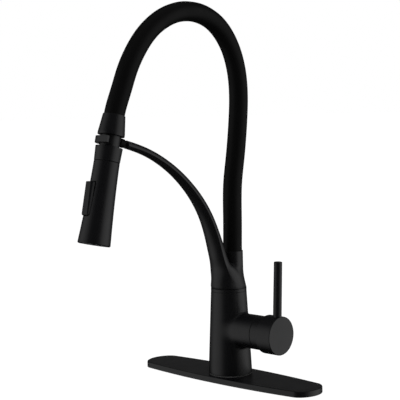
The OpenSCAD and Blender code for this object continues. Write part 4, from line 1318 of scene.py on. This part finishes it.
class FAUCET_OT_hose_end(bpy.types.Operator):
    """Turns the hose connector and the neck below it"""
    bl_idname = "faucet.hose_end"
    bl_label = "Hose End"

    # Radii inside the connector and the neck, from the inside out.
    check_bore = 3.6
    waterway = 4
    thread_bore = 5.1
    skirt = 6.2
    ferrule = 7.5
    thread = 8
    flange = 9.6

    # Lengths inside them.
    band = 2.5
    thread_length = 4.2
    bore_length = 7.8
    ferrule_length = 7.6
    flange_height = 2.6
    skirt_length = 12.3
    gap = 0.3

    def execute(self, context):
        spray, spout = sizes(context, "spray", "spout")
        level, place = head_levels(spray), head_place(spray, turn=False)
        foot = level.connector_start + spray.reveal
        finish_piece(self.connector(spray, spout, foot, level.connector_end), "hose_cone", "hose_end",
                     ["hose_connector"], place)
        finish_piece(self.neck(spray, foot, level), "neck_tube", "hose_end", ["spray_neck"], place)
        return {"FINISHED"}

    def connector(self, spray, spout, foot, rim):
        """A cone over the end of the hose, with a short band at its foot."""
        seat, wide, narrow = foot + self.thread_length + 1, spray.connector_foot, spray.connector_rim
        lip, sleeve = spout.sleeve_radius + 0.1, rim - spout.sleeve_entry
        nest, bottom = sleeve - self.gap, sleeve - self.ferrule_length
        thread = self.thread + 0.1
        return turned([
            (self.waterway, seat), (thread, seat), (thread, foot), (wide, foot, 0.45),
            (wide, foot + self.band, 0.3), (narrow, rim, 0.3), (lip, rim, 0.2), (lip, nest),
            (self.ferrule, nest), (self.ferrule, bottom), (self.waterway, bottom)], ring=True, steps=112)

    def neck(self, spray, foot, level):
        """A tube with a flange inside the collar, the part that the clip holds and a thread above."""
        flange, ledge, low = level.flange, level.flange + self.flange_height, level.collar_end + self.gap
        seat, top, bore = flange - self.skirt_length, foot + self.thread_length, foot - self.bore_length
        return turned([
            (self.check_bore, seat), (self.skirt, seat, 0.3), (self.skirt, flange),
            (self.flange, flange, 0.2), (self.flange, ledge, 0.2), (self.thread, ledge), (self.thread, low),
            (spray.neck_radius, low, 0.25), (spray.neck_radius, foot, 0.25), (self.thread, foot),
            (self.thread, top, 0.3), (self.thread_bore, top, 0.2), (self.thread_bore, bore),
            (self.check_bore, bore)], ring=True, steps=96)


# ---- Spray head ----

def button_block(spray, spare, back, proud=0.0):
    """A block with the rocker button's outline, grown by a spare all round, for it or its window."""
    bpy.ops.mesh.primitive_cube_add(size=1)
    block = bpy.context.object
    half, tall = spray.button_width / 2 + spare, spray.button_length / 2 + spare
    start, end = spray.button_middle - tall, spray.button_middle + tall
    for vertex in block.data.vertices:
        side, face, top = (c > 0 for c in vertex.co)
        front = spray.button_face + proud + (spray.button_rise if top else 0)
        vertex.co = Vector((half if side else -half, -back if face else -front, end if top else start)) * MM
    edit(block)
    for ease, segments, low, high in ((2.4, 8, start, spray.button_middle), (1.0, 5, end - 1, end + 1)):
        pick(block, "EDGE", lambda edge: all(low - 1 < v.co.z / MM < high for v in edge.verts)
             and abs((edge.verts[0].co - edge.verts[1].co).x) < 1e-6
             and abs((edge.verts[0].co - edge.verts[1].co).z) < 2e-3)
        round_edges(ease + spare, segments)
    close()
    return block


class FAUCET_OT_spray_body(bpy.types.Operator):
    """Turns the collar and the flared spray shell, and cuts the button's window"""
    bl_idname = "faucet.spray_body"
    bl_label = "Spray Body"

    steps = 26
    lip = 0.9
    lip_end = 1.1
    rest_bore = 8.05
    skirt_bore = 9.9
    recess = 2.9
    window_back = 8
    window_proud = 10

    def execute(self, context):
        [spray] = sizes(context, "spray")
        level, place = head_levels(spray), head_place(spray)
        start, end = level.collar_start - spray.seam_drop, level.collar_end
        recess = level.flange + self.recess
        collar = turned([
            (self.skirt_bore, start), (spray.shell_top + 0.1, start, 0.5), (spray.collar_top, end, 0.35),
            (self.rest_bore, end), (self.rest_bore, recess), (self.skirt_bore, recess)],
            ring=True, steps=128)
        finish_piece(collar, "spray_ring", "spray_head", ["spray_collar"], place)
        shell = turned(self.profile(spray), ring=True, steps=160)
        cut(shell, button_block(spray, spray.button_gap, self.window_back, self.window_proud))
        finish_piece(shell, "spray_casing", "spray_head", ["spray_shell"], place, sharp=30)
        return {"FINISHED"}

    def profile(self, spray):
        """Outer flare from the face to the top, and the lining down again."""
        def radius(height):
            """Outer radius at a height."""
            flare = max(0, 1 - height / spray.shell) ** 1.6
            return spray.shell_top + (spray.shell_face - spray.shell_top) * flare

        top = spray.shell - spray.seam_drop
        heights = [self.lip_end + (top - self.lip_end) * k / self.steps for k in range(self.steps + 1)]
        outer = [(spray.shell_face - self.lip, 0, 0.15), (radius(self.lip), self.lip, 0.2)]
        outer += [(radius(z), z) for z in heights[:-1]] + [(radius(top), top, 0.45)]
        lining = [(radius(z) - spray.shell_wall, z) for z in reversed(heights)]
        return outer + lining + [(radius(0) - spray.shell_wall, 0, 0.2)]


class FAUCET_OT_spray_button(bpy.types.Operator):
    """Moulds the long rocker button"""
    bl_idname = "faucet.spray_button"
    bl_label = "Spray Button"

    cheek_slope = -0.7
    edge_round = 0.6

    def execute(self, context):
        [spray] = sizes(context, "spray")
        button = button_block(spray, 0, spray.button_back)
        edge = spray.button_width / 2 - spray.button_cheek
        for side in (-1, 1):
            cut_off(button, Vector((side * edge, -spray.button_face, 0)) * MM,
                    Vector((side, self.cheek_slope, 0)).normalized())
            close()
        edit(button)
        outward()
        close()
        soften(button, self.edge_round, segments=4, angle=25)
        finish_piece(button, "rocker_button", "button", ["spray_button"], head_place(spray), satin_plastic,
                     sharp=50)
        return {"FINISHED"}


# ---- Under the deck ----

class FAUCET_OT_deck_fixing(bpy.types.Operator):
    """Turns the threaded shank, the washers and the nut that clamp the faucet to its deck"""
    bl_idname = "faucet.deck_fixing"
    bl_label = "Deck Fixing"

    def execute(self, context):
        [base] = sizes(context, "base")
        shank = turned(self.thread(base), ring=True, steps=72)
        finish_piece(shank, "threaded_shank", "base", ["shank"], finish=turned_brass)
        bore = base.shank_radius + 0.3
        for node, name, finish in (("rubber_washer", "rubber_disc", soft_rubber),
                                   ("steel_washer", "steel_disc", stainless_steel)):
            foot, top = (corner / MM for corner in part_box(node))
            washer = turned([(bore, foot.z, 0.2), (top.x, foot.z, 0.3), (top.x, top.z, 0.3),
                             (bore, top.z, 0.2)], ring=True, steps=96)
            finish_piece(washer, name, "under_deck_nut", [node], finish=finish)
        foot, top = (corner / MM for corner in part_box("mounting_nut"))
        nut = bar(top.x, foot.z, top.z, Matrix.Rotation(QUARTER, 4, "Z"), sides=6)
        soften(nut, 0.9)
        cut(nut, bar(bore, foot.z - PAST, top.z + PAST))
        finish_piece(nut, "brass_nut", "under_deck_nut", ["mounting_nut"], finish=turned_brass)
        return {"FINISHED"}

    def thread(self, base):
        """The shank's section, with a tooth for each turn of thread below the deck."""
        low, high = (corner.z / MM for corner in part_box("shank"))
        root, crest, pitch = base.shank_radius - base.thread_depth, base.shank_radius, base.thread_pitch
        section = [(base.shank_bore, low, 0.4), (root, low)]
        z = low + 0.6
        while z < -pitch:
            section += [(root, z), (crest, z + 0.45 * pitch), (crest, z + 0.55 * pitch)]
            z += pitch
        return section + [(root, z), (crest, z + 1), (crest, high, 0.3), (base.shank_bore, high, 0.3)]


# ---- What stays as the frame gives it ----

class FAUCET_OT_inner_parts(bpy.types.Operator):
    """Gives every part that keeps its own shape its finish"""
    bl_idname = "faucet.inner_parts"
    bl_label = "Inner Parts"

    finishes = {
        soft_rubber: ["plate_gasket", "column_gasket", "cartridge_seals", "spigot_o_ring", "neck_o_ring",
                      "inlet_washer", "spray_nozzles"],
        moulded_plastic: ["plate_insert", "spray_face", "spray_core", "diverter_plunger"],
        moulded_acetal: ["cartridge_body", "cartridge_rotor", "swivel_bush", "check_valve"],
        lapped_ceramic: ["fixed_disc", "moving_disc"],
        turned_brass: ["cartridge_nut", "swivel_spigot", "socket_nipple", "head_nipple"],
        stainless_steel: ["cartridge_stem", "stem_pin", "handle_screw", "swivel_screw", "socket_ferrule",
                          "head_ferrule", "dock_screw", "aerator", "button_pin"],
    }

    def execute(self, context):
        for finish, names in self.finishes.items():
            for name in names:
                wear(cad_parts[name], finish)
        return {"FINISHED"}


class FAUCET_PT_panel(bpy.types.Panel):
    """Lists the faucet's steps and what can be changed"""
    bl_idname = "FAUCET_PT_panel"
    bl_label = "Faucet"
    bl_space_type = "VIEW_3D"
    bl_region_type = "UI"
    bl_category = "Faucet"

    def draw(self, context):
        for step in STEPS:
            self.layout.operator(step.bl_idname)
        for name, group in GROUPS.items():
            box = self.layout.box()
            box.label(text=name)
            held = getattr(context.scene, name)
            for key in group.__annotations__:
                box.prop(held, key)


GROUPS = {"faucet_base": PlateAndColumnSizes, "faucet_lever": LeverSizes, "faucet_spout": SpoutSizes,
          "faucet_spray": SpraySizes, "faucet_finishes": Finishes, "faucet_studio": Studio}
STEPS = (FAUCET_OT_stage, FAUCET_OT_hose, FAUCET_OT_column, FAUCET_OT_spout, FAUCET_OT_trim_rings,
         FAUCET_OT_lever, FAUCET_OT_deck_plate, FAUCET_OT_dock, FAUCET_OT_hose_end, FAUCET_OT_spray_body,
         FAUCET_OT_spray_button, FAUCET_OT_deck_fixing, FAUCET_OT_inner_parts)


def register():
    """Registers the groups, the steps and the panel."""
    for name, group in GROUPS.items():
        bpy.utils.register_class(group)
        setattr(bpy.types.Scene, name, bpy.props.PointerProperty(type=group))
    for step in (*STEPS, FAUCET_PT_panel):
        bpy.utils.register_class(step)


def unregister():
    """Takes everything out again."""
    for step in reversed((*STEPS, FAUCET_PT_panel)):
        bpy.utils.unregister_class(step)
    for name, group in reversed(GROUPS.items()):
        delattr(bpy.types.Scene, name)
        bpy.utils.unregister_class(group)


def main():
    """Runs the steps in order."""
    register()
    for step in STEPS:
        family, verb = step.bl_idname.split(".")
        getattr(getattr(bpy.ops, family), verb)()


if __name__ == "__main__":
    main()
